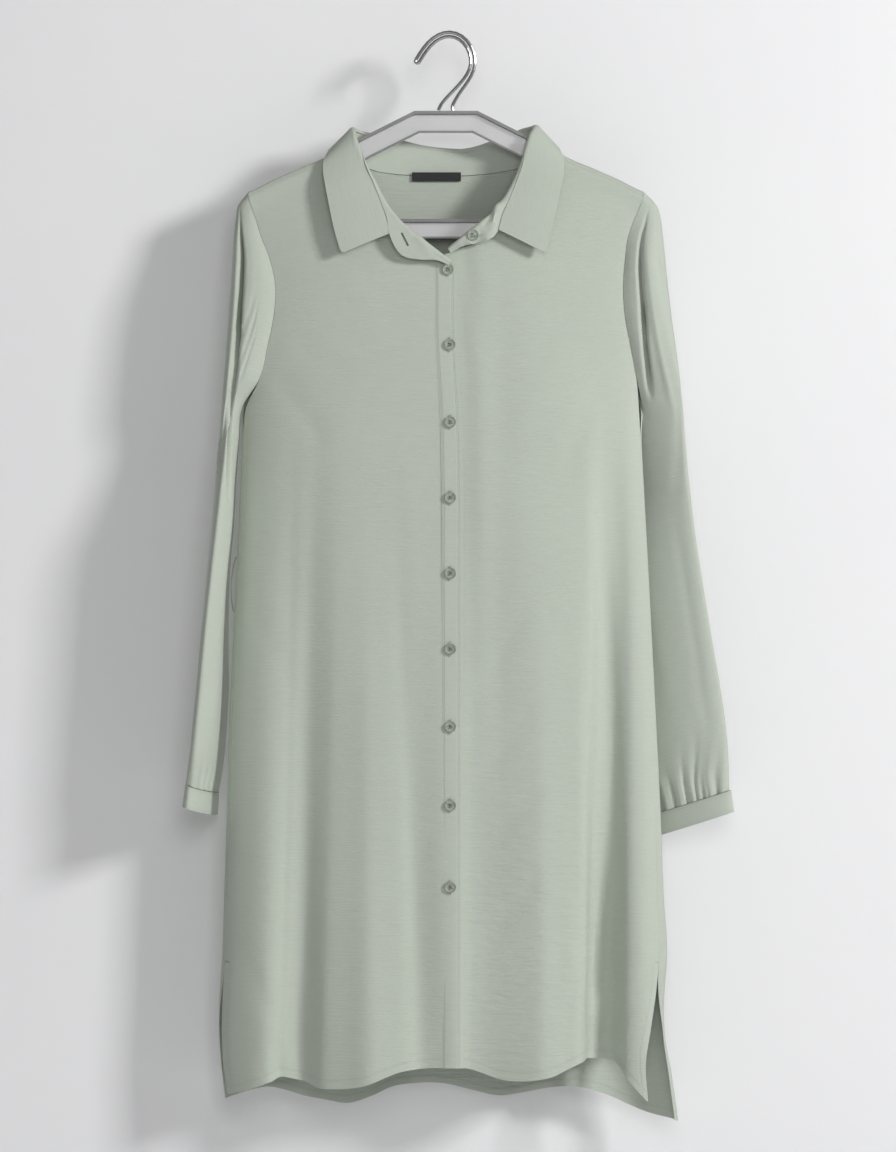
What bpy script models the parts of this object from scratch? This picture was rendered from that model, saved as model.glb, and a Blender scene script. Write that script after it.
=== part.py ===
"""A long button-through shirt on a metal hanger.

Tables and shape functions are in millimetres. The origin is the inner crown of the hook, +Z is up and
the front faces -Y. Right and left are the wearer's, so the wearer's right side is at -X.
"""

import math
from bisect import bisect_right
from collections import namedtuple

import bmesh
import bpy
from mathutils import Vector

MM = 0.001
SEAM_GAP = 0.3
CLOTH = 1.2
COLLAR_CLOTH = 1.2
BAND_CLOTH = 1.0

# Whole garment
HEM_LEVEL = -1045.0
SLIT_TOP = -905.0
ARMPIT_LEVEL = -362.0
RIGHT_TIP_X = -195.0
LEFT_TIP_X = 191.0
RIGHT_NECK_X = -97.0
LEFT_NECK_X = 93.0
SECTION_POWER = 2.6

# Cloth over the arms of the hanger
HANGER_CENTRE_X = -2.0
RIDGE_LIFT = 2.6
RIDGE_CENTRE_Y = -2.3
RIDGE_HALF_WIDTH = 7.2
RIDGE_HEIGHT = 3.6
SHOULDER_SEAM_ANGLE = math.radians(35.0)
DRAPE_LENGTH = 45.0

# Buttons and placket
PLACKET_FREE_TOP_X = 9.0
PLACKET_FREE_HEM_X = 15.2
PLACKET_WIDTH = 21.5
UNDER_FREE_X = -9.0
UNDER_LAY = 1.7
BUTTON_RADIUS = 5.5
BUTTON_HEIGHT = 2.2
BUTTON_X = 2.4
BUTTON_HEIGHTS = (-228.3, -301.8, -377.3, -450.8, -524.3, -597.8, -673.3, -749.7, -829.1)

# Hanger
ARM_DEPTH = 21.0
WEB_HALF = 1.5
LIP_REACH = 6.0
LIP_HEIGHT = 3.0
BEAD_REACH = 3.0
BEAD_HEIGHT = 1.8
ARM_HALF_LENGTH = 186.0
BAR_TOP = -177.5
BAR_BOTTOM = -196.3
WIRE_RADIUS = 1.8
WIRE_HALF_GAP = 2.1
ARM_STEPS = 7
HOOK_STEPS = 24
BUTTON_SIDES = 14


class Table:
    """Rows of named columns, read between the rows along a smooth curve."""

    def __init__(self, names, *rows):
        self.Row = namedtuple("Row", names)
        self.rows = [self.Row(*row) for row in sorted(rows)]
        self.keys = [row[0] for row in self.rows]

    def slopes(self, k):
        low, high = self.rows[max(k - 1, 0)], self.rows[min(k + 1, len(self.rows) - 1)]
        return [(b - a) / (high[0] - low[0]) for a, b in zip(low, high)]

    def at(self, key):
        if key <= self.keys[0]:
            return self.rows[0]
        if key >= self.keys[-1]:
            return self.rows[-1]
        k = bisect_right(self.keys, key) - 1
        low, high = self.rows[k], self.rows[k + 1]
        span = high[0] - low[0]
        t = (key - low[0]) / span
        pieces = zip(low, high, self.slopes(k), self.slopes(k + 1))
        return self.Row(*(hermite(a, b, m * span, n * span, t) for a, b, m, n in pieces))


def hermite(a, b, slope_a, slope_b, t):
    """Smooth curve between a and b with the given slopes."""
    return (
        a * (2 * t**3 - 3 * t**2 + 1)
        + b * (3 * t**2 - 2 * t**3)
        + slope_a * (t**3 - 2 * t**2 + t)
        + slope_b * (t**3 - t**2)
    )


def mix(a, b, t):
    return a + (b - a) * t


def ease(t):
    t = min(max(t, 0.0), 1.0)
    return t * t * (3 - 2 * t)


# Top edge of the hanger's arms, by the distance from the hanger's centre
ARM = Table(
    "distance height",
    (0.0, -71.7),
    (30.9, -71.7),
    (85.3, -99.0),
    (113.7, -117.1),
    (136.2, -126.9),
    (168.6, -141.1),
    (ARM_HALF_LENGTH, -149.9),
    (205.0, -158.0),
)

# Depth of the front and back from the hanger's plane
DEPTH = Table(
    "level front back",
    (-1062.0, 46.0, 42.0),
    (-905.0, 43.0, 38.0),
    (-650.0, 39.0, 32.0),
    (-420.0, 36.0, 27.0),
    (-300.0, 33.0, 25.0),
    (-220.0, 28.0, 23.0),
    (-150.0, 19.0, 20.0),
    (-95.0, 9.0, 12.0),
)

# Widths at each level: the outlines and, inside them, the front edges of the side seams
SIDES = Table(
    "level outline_right outline_left seam_right seam_left",
    (-1062.0, -217.5, 227.0, -215.6, 194.5),
    (-1038.0, -219.0, 225.1, -215.6, 194.5),
    (-1013.0, -222.0, 220.9, -219.5, 193.0),
    (-988.0, -224.0, 215.4, -221.0, 193.8),
    (-952.0, -224.4, 211.0, -221.0, 200.5),
    (-905.0, -221.5, 214.6, -218.5, 205.8),
    (-845.0, -219.5, 211.7, -216.5, 204.6),
    (-747.0, -216.3, 207.8, -213.3, 201.8),
    (-649.0, -213.6, 202.9, -210.6, 198.4),
    (-551.0, -208.5, 198.0, -205.5, 194.5),
    (-424.0, -202.8, 191.1, -200.0, 188.6),
    (-362.0, -200.5, 189.1, -200.3, 188.9),
    (-300.0, -203.0, 196.0, -202.8, 195.8),
    (-95.0, -206.0, 202.0, -205.8, 201.8),
)

# Armhole edges of the front and the back
ARMHOLE = Table(
    "level front_right front_left back_right back_left",
    (-362.0, -197.5, 186.5, -197.5, 186.5),
    (-340.0, -186.0, 185.0, -191.0, 183.0),
    (-318.0, -179.5, 181.9, -186.5, 180.0),
    (-303.0, -176.0, 178.1, -184.5, 178.5),
    (-281.0, -171.0, 173.5, -182.5, 177.0),
    (-251.0, -168.2, 171.0, -181.5, 176.5),
    (-230.0, -169.9, 171.5, -182.5, 177.5),
    (-209.0, -176.9, 174.0, -184.5, 179.5),
    (-194.0, -183.0, 176.4, -187.0, 182.0),
    (-174.0, -189.1, 183.8, -191.0, 187.0),
    (-158.0, RIGHT_TIP_X, LEFT_TIP_X, RIGHT_TIP_X, LEFT_TIP_X),
)

# Soft folds that hang down the panels. A positive depth is a valley.
FOLD = "top_x hem_x start depth right_reach left_reach growth"
Fold = namedtuple("Fold", FOLD)
FRONT_FOLDS = (
    Fold(-128.0, -147.0, -330.0, 19.0, 10.0, 42.0, 1.3),
    Fold(-176.0, -178.0, -450.0, -4.0, 20.0, 20.0, 1.0),
    Fold(-72.0, -78.0, -520.0, -5.0, 26.0, 26.0, 1.0),
    Fold(-47.0, -20.0, -430.0, 5.0, 20.0, 18.0, 1.0),
    Fold(41.0, 36.0, -430.0, 6.0, 20.0, 28.0, 1.0),
    Fold(94.0, 96.0, -480.0, -3.5, 26.0, 26.0, 1.0),
    Fold(158.0, 145.0, -300.0, 17.0, 9.0, 38.0, 1.3),
    Fold(160.0, 150.0, -390.0, 23.0, 9.0, 20.0, 0.9),
    Fold(196.0, 193.0, -400.0, -6.0, 14.0, 10.0, 1.0),
)
BACK_FOLDS = (
    Fold(-150.0, -146.0, -360.0, 12.0, 26.0, 26.0, 1.2),
    Fold(-95.0, -97.0, -420.0, -6.0, 26.0, 26.0, 1.0),
    Fold(-42.0, -36.0, -330.0, 11.0, 24.0, 24.0, 1.2),
    Fold(50.0, 52.0, -420.0, -6.0, 28.0, 28.0, 1.0),
    Fold(112.0, 120.0, -360.0, 12.0, 26.0, 26.0, 1.2),
)

# Hems
FRONT_HEM = Table(
    "x height",
    (-216.0, -1034.0),
    (-198.0, -1029.0),
    (-168.0, -1018.0),
    (-151.0, -1016.0),
    (-126.0, -1025.0),
    (-85.0, -1023.0),
    (-45.0, -1008.5),
    (15.0, -1005.0),
    (56.0, -1017.0),
    (98.0, -1014.0),
    (133.0, -1000.0),
    (166.0, -1005.0),
    (189.0, -1033.0),
    (196.0, -1041.0),
)
BACK_HEM = Table(
    "x height",
    (-219.0, -1039.0),
    (-175.0, -1030.0),
    (-136.0, -1040.0),
    (-92.0, -1048.0),
    (-61.0, -1033.0),
    (-35.0, -1027.0),
    (0.0, -1029.0),
    (50.0, -1041.0),
    (86.0, -1035.0),
    (119.0, -1029.0),
    (153.0, -1037.0),
    (194.0, -1054.0),
    (227.0, -1061.0),
)

# The collar. Each station gives the neck seam, the roll and the free end of one section of the collar. The
# path past the roll tells where the stand ends and the leaf starts.
STATION = "place seam_x seam_z roll_x roll_y roll_z past end_x end_y end_z bearing"
FRONT_RIGHT_STATIONS = Table(
    STATION,
    (0, -97.0, -101.0, -90.2, -3.0, -89.2, -4.0, -118.0, -6.0, -111.4, 180.0),
    (1, -95.5, -113.0, -88.2, -12.5, -101.0, -2.0, -118.6, -16.0, -116.6, 215.0),
    (2, -94.5, -128.0, -79.4, -17.5, -124.5, 2.0, -119.0, -22.0, -129.4, 245.0),
    (3, -90.0, -147.0, -69.6, -22.0, -144.0, 3.5, -116.6, -28.0, -145.0, 260.0),
    (4, -79.0, -167.0, -58.8, -26.0, -164.6, 6.0, -112.7, -32.0, -165.6, 265.0),
    (5, -66.0, -183.5, -49.0, -28.5, -177.4, 11.0, -107.8, -36.0, -188.2, 270.0),
    (6, -54.0, -195.0, -40.2, -30.0, -186.2, 19.0, -101.0, -39.0, -212.2, 270.0),
    (7, -37.2, -205.8, -25.5, -31.5, -198.0, 25.0, -45.0, -35.5, -215.0, 270.0),
    (8, -22.0, -213.0, -12.7, -32.0, -207.8, 17.0, -25.5, -35.5, -219.5, 270.0),
    (9, -9.0, -218.6, -2.9, -32.0, -215.2, 9.0, -10.8, -35.5, -220.0, 270.0),
    (10, 1.5, -223.2, 3.9, -31.5, -219.5, 4.0, 0.7, -33.8, -224.4, 270.0),
)
FRONT_LEFT_STATIONS = Table(
    STATION,
    (0, 93.0, -101.0, 83.3, -3.0, -87.6, -4.0, 109.8, -6.0, -109.4, 0.0),
    (1, 91.5, -113.0, 77.4, -12.5, -100.0, -2.0, 111.2, -16.0, -116.6, -35.0),
    (2, 90.0, -128.0, 71.5, -17.5, -121.5, 2.0, 110.3, -22.0, -131.3, -65.0),
    (3, 85.0, -147.0, 63.7, -22.0, -141.0, 3.5, 106.8, -28.0, -149.0, -80.0),
    (4, 75.0, -167.5, 53.9, -26.0, -158.8, 6.0, 102.9, -32.0, -167.6, -85.0),
    (5, 62.0, -181.5, 43.0, -28.5, -171.5, 11.0, 98.5, -36.0, -188.2, -90.0),
    (6, 46.0, -190.5, 32.3, -30.0, -181.3, 19.0, 92.6, -39.0, -211.7, -90.0),
    (7, 29.0, -199.5, 18.6, -31.0, -192.0, 21.0, 38.0, -35.0, -201.0, -90.0),
    (8, 17.0, -205.5, 9.5, -31.0, -199.5, 16.0, 23.0, -34.5, -204.0, -90.0),
    (9, 8.0, -209.0, 3.0, -30.0, -204.5, 10.0, 10.5, -33.5, -208.2, -90.0),
    (10, 2.0, -211.5, -0.5, -29.0, -207.5, 5.0, 2.8, -32.0, -212.4, -90.0),
)
BACK_STATIONS = Table(
    STATION,
    (1, -95.5, -99.0, -90.0, 0.5, -89.0, -4.0, -117.0, 0.0, -109.0, 170.0),
    (2, -94.0, -102.0, -89.3, 4.0, -89.0, -4.0, -115.0, 8.0, -109.0, 158.0),
    (3, -92.0, -113.0, -87.0, 8.5, -89.5, -4.0, -110.0, 18.0, -113.0, 145.0),
    (4, -85.5, -123.0, -79.5, 15.0, -91.5, -5.0, -97.0, 27.0, -125.0, 120.0),
    (5, -73.0, -129.0, -66.0, 20.0, -95.5, -6.0, -76.0, 33.0, -137.0, 100.0),
    (6, -52.0, -132.5, -46.0, 24.0, -101.0, -6.0, -50.0, 35.0, -143.5, 94.0),
    (7, -27.0, -134.0, -24.0, 26.0, -105.5, -6.0, -26.0, 36.5, -147.0, 90.0),
    (8, -2.0, -134.3, 0.0, 27.0, -107.0, -6.0, -2.0, 37.0, -148.0, 90.0),
    (9, 23.0, -133.6, 24.0, 26.0, -106.0, -6.0, 24.0, 36.5, -146.5, 90.0),
    (10, 48.0, -131.0, 44.0, 24.0, -101.0, -6.0, 47.0, 35.0, -142.5, 86.0),
    (11, 69.0, -127.0, 61.0, 20.0, -95.5, -6.0, 71.0, 33.0, -135.0, 80.0),
    (12, 81.5, -121.5, 73.5, 15.0, -90.5, -5.0, 90.0, 27.0, -123.0, 60.0),
    (13, 88.0, -112.0, 80.5, 8.5, -88.0, -4.0, 102.0, 18.0, -112.0, 35.0),
    (14, 90.0, -102.0, 82.5, 4.0, -87.3, -4.0, 107.0, 8.0, -108.0, 22.0),
    (15, 91.5, -99.0, 83.0, 0.5, -87.3, -4.0, 109.0, 0.0, -107.5, 10.0),
)
RIDGE_PLACES = dict(zip((1, 2, 14, 15), map(math.radians, (90.0, 165.0, 165.0, 90.0))))
FRONT_SECTIONS = (0, 1, 1.25, 1.5, 1.75, 2, 3, 4, 5, 6, 7, 8, 9, 10)
LEAF_LAST_STATION = 6
ROLL_RADIUS = 2.4
ROLL_WEIGHT = 3.0

# Sleeves: each section is an oval, its long axis turned by yaw from +X towards the front
SLEEVE = "level outline centre_y long short yaw tilt"
RIGHT_SLEEVE = Table(
    SLEEVE,
    (-735.0, -256.0, 8.0, 48.0, 10.5, 77.0, 0.37),
    (-707.0, -252.8, 8.0, 52.0, 11.5, 78.0, 0.25),
    (-639.0, -246.0, 8.0, 54.0, 11.0, 80.0, 0.0),
    (-551.0, -238.1, 8.0, 55.0, 9.4, 85.0, 0.0),
    (-482.0, -231.3, 7.0, 56.0, 9.6, 87.0, 0.0),
    (-413.0, -225.9, 6.0, 54.0, 9.2, 88.0, 0.0),
    (-362.0, -221.5, 4.0, 49.0, 8.4, 89.0, 0.0),
    (-320.0, -218.8, 2.0, 43.0, 11.0, 90.0, 0.0),
    (-270.0, -215.3, 0.0, 36.0, 14.0, 90.0, 0.0),
    (-217.6, -211.7, -1.0, 27.0, 14.0, 90.0, 0.0),
    (-190.0, -209.8, -1.5, 20.0, 12.0, 90.0, 0.0),
    (-168.0, -206.5, -2.0, 13.0, 9.0, 90.0, 0.0),
    (-158.0, -204.5, -2.3, 9.5, 7.0, 90.0, 0.0),
)
LEFT_SLEEVE = Table(
    SLEEVE,
    (-751.0, 277.5, 18.0, 48.0, 10.5, 24.0, 0.34),
    (-709.0, 275.0, 21.0, 53.0, 12.0, 24.0, 0.28),
    (-617.0, 264.6, 26.0, 55.0, 11.0, 24.0, 0.0),
    (-538.0, 251.4, 30.0, 56.0, 11.0, 26.0, 0.0),
    (-472.0, 241.0, 32.0, 56.0, 11.0, 32.0, 0.0),
    (-425.0, 235.4, 30.0, 54.0, 12.0, 41.0, 0.0),
    (-385.0, 231.5, 23.0, 50.0, 12.0, 54.0, 0.0),
    (-355.0, 228.8, 14.0, 47.0, 12.0, 69.0, 0.0),
    (-320.0, 224.8, 6.0, 43.0, 14.0, 80.0, 0.0),
    (-260.0, 217.5, 1.0, 34.0, 15.0, 86.0, 0.0),
    (-204.0, 211.7, -1.0, 24.0, 14.0, 90.0, 0.0),
    (-173.5, 207.8, -2.0, 15.0, 10.0, 90.0, 0.0),
    (-158.0, 202.0, -2.3, 9.5, 7.0, 90.0, 0.0),
)
SLEEVE_LEVELS = (-392.0, -430.0, -475.0, -530.0, -590.0, -640.0)
GATHER_START = 60.0
GATHER_ROWS = (0.0, 0.4, 0.7, 0.9, 1.0)
GATHER_DEPTH = 1.0
GATHER_WAVES = 14
SLEEVE_COLUMNS = 20
CUFF_COLUMNS = 56
CUFF_HEIGHT = 21.5
CUFF_GAP = 0.5
CUFF_LEAN = 0.1
CUFF_FLARE = 0.8
END_PULL = 0.28
UNDERARM_GAP = 0.0012
UNDERARM_HOLD = 55.0
UNDERARM_STAND_OFF = 0.8
CAP_HEIGHT = 70.0

# Sleeve valleys: place round the section in turns from the body side, through the front end
Valley = namedtuple("Valley", "place start end depth reach")
RIGHT_VALLEYS = (Valley(0.30, -185.0, -470.0, 8.0, 0.055),)
LEFT_VALLEYS = (Valley(0.33, -165.0, -300.0, 5.0, 0.06),)

# Colours, as linear red, green and blue
SAGE = (0.445, 0.480, 0.418)
SAGE_SHADE = (0.420, 0.455, 0.392)
BUTTON_COLOUR = (0.262, 0.296, 0.240)
LABEL_COLOUR = (0.022, 0.024, 0.022)
SILVER = (0.560, 0.560, 0.560)
STEEL = (0.420, 0.420, 0.415)


def clear_scene():
    for obj in list(bpy.data.objects):
        bpy.data.objects.remove(obj)


def material(name, colour, roughness, metallic=0.0):
    made = bpy.data.materials.new(name)
    made.use_nodes = True
    shader = made.node_tree.nodes["Principled BSDF"]
    shader.inputs["Base Color"].default_value = (*colour, 1.0)
    shader.inputs["Roughness"].default_value = roughness
    shader.inputs["Metallic"].default_value = metallic
    return made


def add_object(name, mesh, finish, smooth=True):
    obj = bpy.data.objects.new(name, mesh)
    bpy.context.scene.collection.objects.link(obj)
    mesh.materials.append(material(name, *finish))
    if smooth:
        mesh.shade_smooth()
        mesh.set_sharp_from_angle(angle=math.radians(40))
    return obj


def ridge(x):
    """Height of the cloth where it lies over the hanger."""
    return ARM.at(abs(x - HANGER_CENTRE_X)).height + RIDGE_LIFT


def section_depth(x, level, full_depth):
    sides = SIDES.at(level)
    half = sides.outline_left if x > 0 else -sides.outline_right
    ratio = min(abs(x) / half, 1.0)
    return full_depth * math.sqrt(1 - ratio**SECTION_POWER)


def fold_offset(folds, x, level):
    """Depth of all the folds at one place, positive into the garment."""
    total = 0.0
    for fold in folds:
        run = min(max((fold.start - level) / (fold.start - HEM_LEVEL), 0.0), 1.0)
        centre = mix(fold.top_x, fold.hem_x, run)
        reach = fold.right_reach if x < centre else fold.left_reach
        total += fold.depth * run**fold.growth * math.exp(-(abs((x - centre) / reach) ** 1.6))
    return total


def draped(x, level, full_depth, edge_depth):
    """Depth that leaves the hanger's edge and eases out to the garment's own section."""
    drop = max(ridge(x) - RIDGE_HEIGHT - level, 0.0)
    section = section_depth(x, level, full_depth)
    return edge_depth + max(section - edge_depth, 0.0) * (1 - math.exp(-drop / DRAPE_LENGTH)) \
        if section > edge_depth else mix(edge_depth, section, ease(drop / 150.0))


def front_y(x, level):
    edge = RIDGE_HALF_WIDTH - RIDGE_CENTRE_Y
    return fold_offset(FRONT_FOLDS, x, level) - draped(x, level, DEPTH.at(level).front, edge)


def back_y(x, level):
    edge = RIDGE_HALF_WIDTH + RIDGE_CENTRE_Y
    return draped(x, level, DEPTH.at(level).back, edge) - fold_offset(BACK_FOLDS, x, level)


def over_ridge(x, angle):
    """Point on the rounded cloth over the hanger: 0 is its front edge and half a turn its back edge."""
    return Vector((
        x,
        RIDGE_CENTRE_Y - RIDGE_HALF_WIDTH * math.cos(angle),
        ridge(x) - RIDGE_HEIGHT * (1 - math.sin(angle)),
    ))


def outward_on_ridge(angle):
    """Direction away from the hanger on the rounded cloth."""
    return Vector((0.0, -math.cos(angle), math.sin(angle)))


def keep_normal(i, j, point, normal):
    return normal


def across(normal):
    """The normal without its part along X, so that two cloths that meet at an armhole end alike."""
    return Vector((0.0, normal.y, normal.z)).normalized()


def wall(name, rows, thickness, finish, rim=keep_normal):
    """A closed cloth wall whose outer side runs through the rows of points.

    Rows run down the cloth and columns to the right as seen from outside. The rim function may turn the
    normal at a place, by its row and column, so that cloths that meet at a seam end side by side.
    """
    shape = bmesh.new()
    outer = [[shape.verts.new(point) for point in row] for row in rows]
    for upper, lower in zip(outer, outer[1:]):
        if len(upper) == len(lower):
            for k in range(len(upper) - 1):
                shape.faces.new((upper[k], lower[k], lower[k + 1], upper[k + 1]))
        else:
            join_uneven(shape, upper, lower)
    bmesh.ops.triangulate(shape, faces=shape.faces, quad_method="SHORT_EDGE")
    shape.normal_update()
    inner = {}
    for i, row in enumerate(outer):
        for j, vert in enumerate(row):
            normal = rim(i, j, vert.co, vert.normal.copy())
            inner[vert] = shape.verts.new(vert.co - normal * thickness)
    for edge in [edge for edge in shape.edges if len(edge.link_faces) == 1]:
        loop = edge.link_loops[0]
        start, end = loop.vert, loop.link_loop_next.vert
        shape.faces.new((end, start, inner[start], inner[end]))
    for face in [face for face in shape.faces if len(face.verts) == 3]:
        shape.faces.new([inner[vert] for vert in reversed(face.verts)])
    bmesh.ops.scale(shape, verts=shape.verts, vec=(MM, MM, MM))
    mesh = bpy.data.meshes.new(name)
    shape.to_mesh(mesh)
    shape.free()
    return add_object(name, mesh, finish)


def join_uneven(shape, upper, lower):
    """Triangles between a row and a finer row below it."""
    ratio = (len(lower) - 1) / (len(upper) - 1)
    k = 0
    for j in range(len(lower) - 1):
        if (j + 0.5) / ratio > k + 0.5:
            shape.faces.new((upper[k], lower[j], upper[k + 1]))
            k += 1
        shape.faces.new((upper[k], lower[j], lower[j + 1]))
    if k < len(upper) - 1:
        shape.faces.new((upper[k], lower[-1], upper[k + 1]))


# Fronts and back

FRONT_WRAP = (0.0, 0.15, 1.0)
BACK_WRAP = (0.0, 0.05, 0.35, 0.68, 1.0)
NECK_STEP = 1.2
UPPER_SHARES = (0.05, 0.11, 0.19, 0.30, 0.43, 0.57, 0.72, 0.87, 1.0)
LOWER_LEVELS = (-392.0, -440.0, -520.0, -600.0, -680.0, -760.0, -840.0, SLIT_TOP)
HEM_SHARES = (0.22, 0.46, 0.72, 1.0)
SHOULDER_SHARES = (0.0, 0.05, 0.12, 0.25, 0.5, 0.75)
SIDE_SHARES = (0.0, 0.012, 0.035, 0.075)
SIDE_SEAM_OUTWARD = 0.35
ARMPIT_OUTWARD = 0.95
SLIT_GAP = 3.0

# Top of one column of a panel: its place on the ridge, or its level at the neck seam
Top = namedtuple("Top", "x angle level")


def tip_level():
    return ridge(RIGHT_TIP_X) - RIDGE_HEIGHT


def upper_levels():
    return [mix(tip_level(), ARMPIT_LEVEL, share) for share in UPPER_SHARES]


def seam_outward(side, level):
    """Outward direction at a side seam, which leaves the outline and runs a little forward of it."""
    out = mix(ARMPIT_OUTWARD, SIDE_SEAM_OUTWARD, ease((ARMPIT_LEVEL - level) / 60.0))
    return Vector((side * out, -math.sqrt(1 - out**2), 0.0))


def wrap_point(top, share, last_angle, surface, step):
    """Point of a column's first rows: over the ridge, or closely below the neck seam."""
    if top.angle is not None:
        return over_ridge(top.x, mix(top.angle, last_angle, share))
    level = top.level - step
    return Vector((top.x, surface(top.x, level), level))


def wrap_normal(top, share, last_angle, surface, point, facing):
    """Outward direction in a column's first rows. Facing is 1 for the back and -1 for the front."""
    if top.angle is not None:
        return outward_on_ridge(mix(top.angle, last_angle, share))
    slope_x = surface(point.x + 0.5, point.z) - surface(point.x - 0.5, point.z)
    slope_z = surface(point.x, point.z + 0.5) - surface(point.x, point.z - 0.5)
    return Vector((-slope_x, 1.0, -slope_z)).normalized() * facing


def drop_start(top, rows):
    """Level at which a column leaves its first rows."""
    return ridge(top.x) - RIDGE_HEIGHT if top.angle is not None else top.level - NECK_STEP * (rows - 1)


def upper_x(top, even_share, tip_x, neck_x, end_x, edge_x, free_x, share):
    """Column position, first below its place at the top edge and then at its even place at the armpit."""
    if abs(top.x - tip_x) < abs(neck_x - tip_x):
        below = mix(edge_x, neck_x, (top.x - tip_x) / (neck_x - tip_x))
    else:
        below = mix(neck_x, free_x, (top.x - neck_x) / (end_x - neck_x))
    return mix(below, mix(edge_x, free_x, even_share), ease(share * 1.2))


def spread(count):
    """Shares across a front, closer together at the side edge."""
    rest = count - len(SIDE_SHARES)
    return list(SIDE_SHARES) + [mix(SIDE_SHARES[-1], 1.0, (k / rest) ** 1.05) for k in range(1, rest + 1)]


def front_rows(tops, side, free_at, lay):
    """Grid of a front from its armhole side to its free edge."""
    seam_column, hole_column = ("seam_left", "front_left") if side > 0 else ("seam_right", "front_right")
    neck_x = LEFT_NECK_X if side > 0 else RIGHT_NECK_X
    even = spread(len(tops))
    rows = []
    for k, share in enumerate(FRONT_WRAP):
        rows.append([lay(wrap_point(top, share, 0.0, front_y, NECK_STEP * k)) for top in tops])
    for share in UPPER_SHARES:
        side_level = mix(tip_level(), ARMPIT_LEVEL, share)
        edge_x, free_x = getattr(ARMHOLE.at(side_level), hole_column), free_at(side_level)
        row = []
        for top, even_share in zip(tops, even):
            x = upper_x(top, even_share, tops[0].x, neck_x, tops[-1].x, edge_x, free_x, share)
            level = mix(drop_start(top, len(FRONT_WRAP)), ARMPIT_LEVEL, share)
            level = side_level if top is tops[0] else level
            row.append(lay(Vector((x, front_y(x, level), level))))
        rows.append(row)
    for level in LOWER_LEVELS:
        edge_x, free_x = getattr(SIDES.at(level), seam_column), free_at(level)
        xs = [mix(edge_x, free_x, share) for share in even]
        rows.append([lay(Vector((x, front_y(x, level), level))) for x in xs])
    for share in HEM_SHARES:
        guess = mix(SLIT_TOP, HEM_LEVEL + 5.0, share)
        edge_x, free_x = getattr(SIDES.at(guess), seam_column), free_at(guess)
        row = []
        for even_share in even:
            x = mix(edge_x, free_x, even_share)
            level = mix(SLIT_TOP, FRONT_HEM.at(x).height, share)
            row.append(lay(Vector((x, front_y(x, level), level))))
        rows.append(row)
    return rows


def front_rim(tops, side):
    first_lower = len(FRONT_WRAP) + len(UPPER_SHARES)

    def rim(i, j, point, normal):
        place = j if side < 0 else len(tops) - 1 - j
        if i < len(FRONT_WRAP):
            return wrap_normal(tops[place], FRONT_WRAP[i], 0.0, front_y, point, -1)
        if place > 0:
            return normal
        return seam_outward(side, point.z) if i >= first_lower - 1 else across(normal)

    return rim


def placket_free_x(level):
    return mix(PLACKET_FREE_TOP_X, PLACKET_FREE_HEM_X, ease((-224.0 - level) / 220.0))


def under_free_x(level):
    return UNDER_FREE_X


def lie_flat(point):
    return point


def lie_under(point):
    """The under front steps back where the placket covers it."""
    share = 1 - ease((point.x - 16.0) / 12.0)
    return point + Vector((0.0, UNDER_LAY * share, 0.0))


def shoulder_tops(tip_x, neck_x):
    return [Top(mix(tip_x, neck_x, t), SHOULDER_SEAM_ANGLE, None) for t in SHOULDER_SHARES]


def right_front_tops():
    stations = FRONT_RIGHT_STATIONS.rows
    tops = shoulder_tops(RIGHT_TIP_X, RIGHT_NECK_X) + [Top(RIGHT_NECK_X, SHOULDER_SEAM_ANGLE, None)]
    tops += [Top(row.seam_x, None, row.seam_z) for row in stations[1:9]]
    neck_end = stations[-1]
    for share in (1.0, 0.5, 0.0):
        x = PLACKET_FREE_TOP_X - PLACKET_WIDTH * share
        tops.append(Top(x, None, neck_end.seam_z + (neck_end.seam_x - x) * 0.43))
    return tops


def left_front_tops():
    stations = FRONT_LEFT_STATIONS.rows
    tops = shoulder_tops(LEFT_TIP_X, LEFT_NECK_X) + [Top(LEFT_NECK_X, SHOULDER_SEAM_ANGLE, None)]
    tops += [Top(row.seam_x, None, row.seam_z) for row in stations[1:]]
    return tops + [Top(UNDER_FREE_X, None, stations[-1].seam_z - 4.0)]


def right_front_grid():
    """The over front. Its last three columns are the placket's edge, its middle and the free edge."""
    rows = front_rows(right_front_tops(), -1, placket_free_x, lie_flat)
    for row in rows:
        free = row[-1]
        for place, share in ((-3, 1.0), (-2, 0.5)):
            x = free.x - PLACKET_WIDTH * share
            level = row[place].z if place == -3 else (row[-3].z + free.z) / 2
            row[place] = Vector((x, front_y(x, level), level))
    return rows


def make_fronts():
    right = right_front_grid()
    wall("front_right_panel", right, CLOTH, (SAGE, 0.85), front_rim(right_front_tops(), -1))
    left = [row[::-1] for row in front_rows(left_front_tops(), 1, under_free_x, lie_under)]
    wall("front_left_panel", left, CLOTH, (SAGE, 0.85), front_rim(left_front_tops(), 1))
    lift = Vector((0.0, -(SEAM_GAP + BAND_CLOTH), 0.0))
    band = [[point + lift for point in row[-3:]] for row in right[2:]]
    wall("placket", band, BAND_CLOTH, (SAGE, 0.85), lambda i, j, point, normal: Vector((0.0, -1.0, 0.0)))


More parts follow.
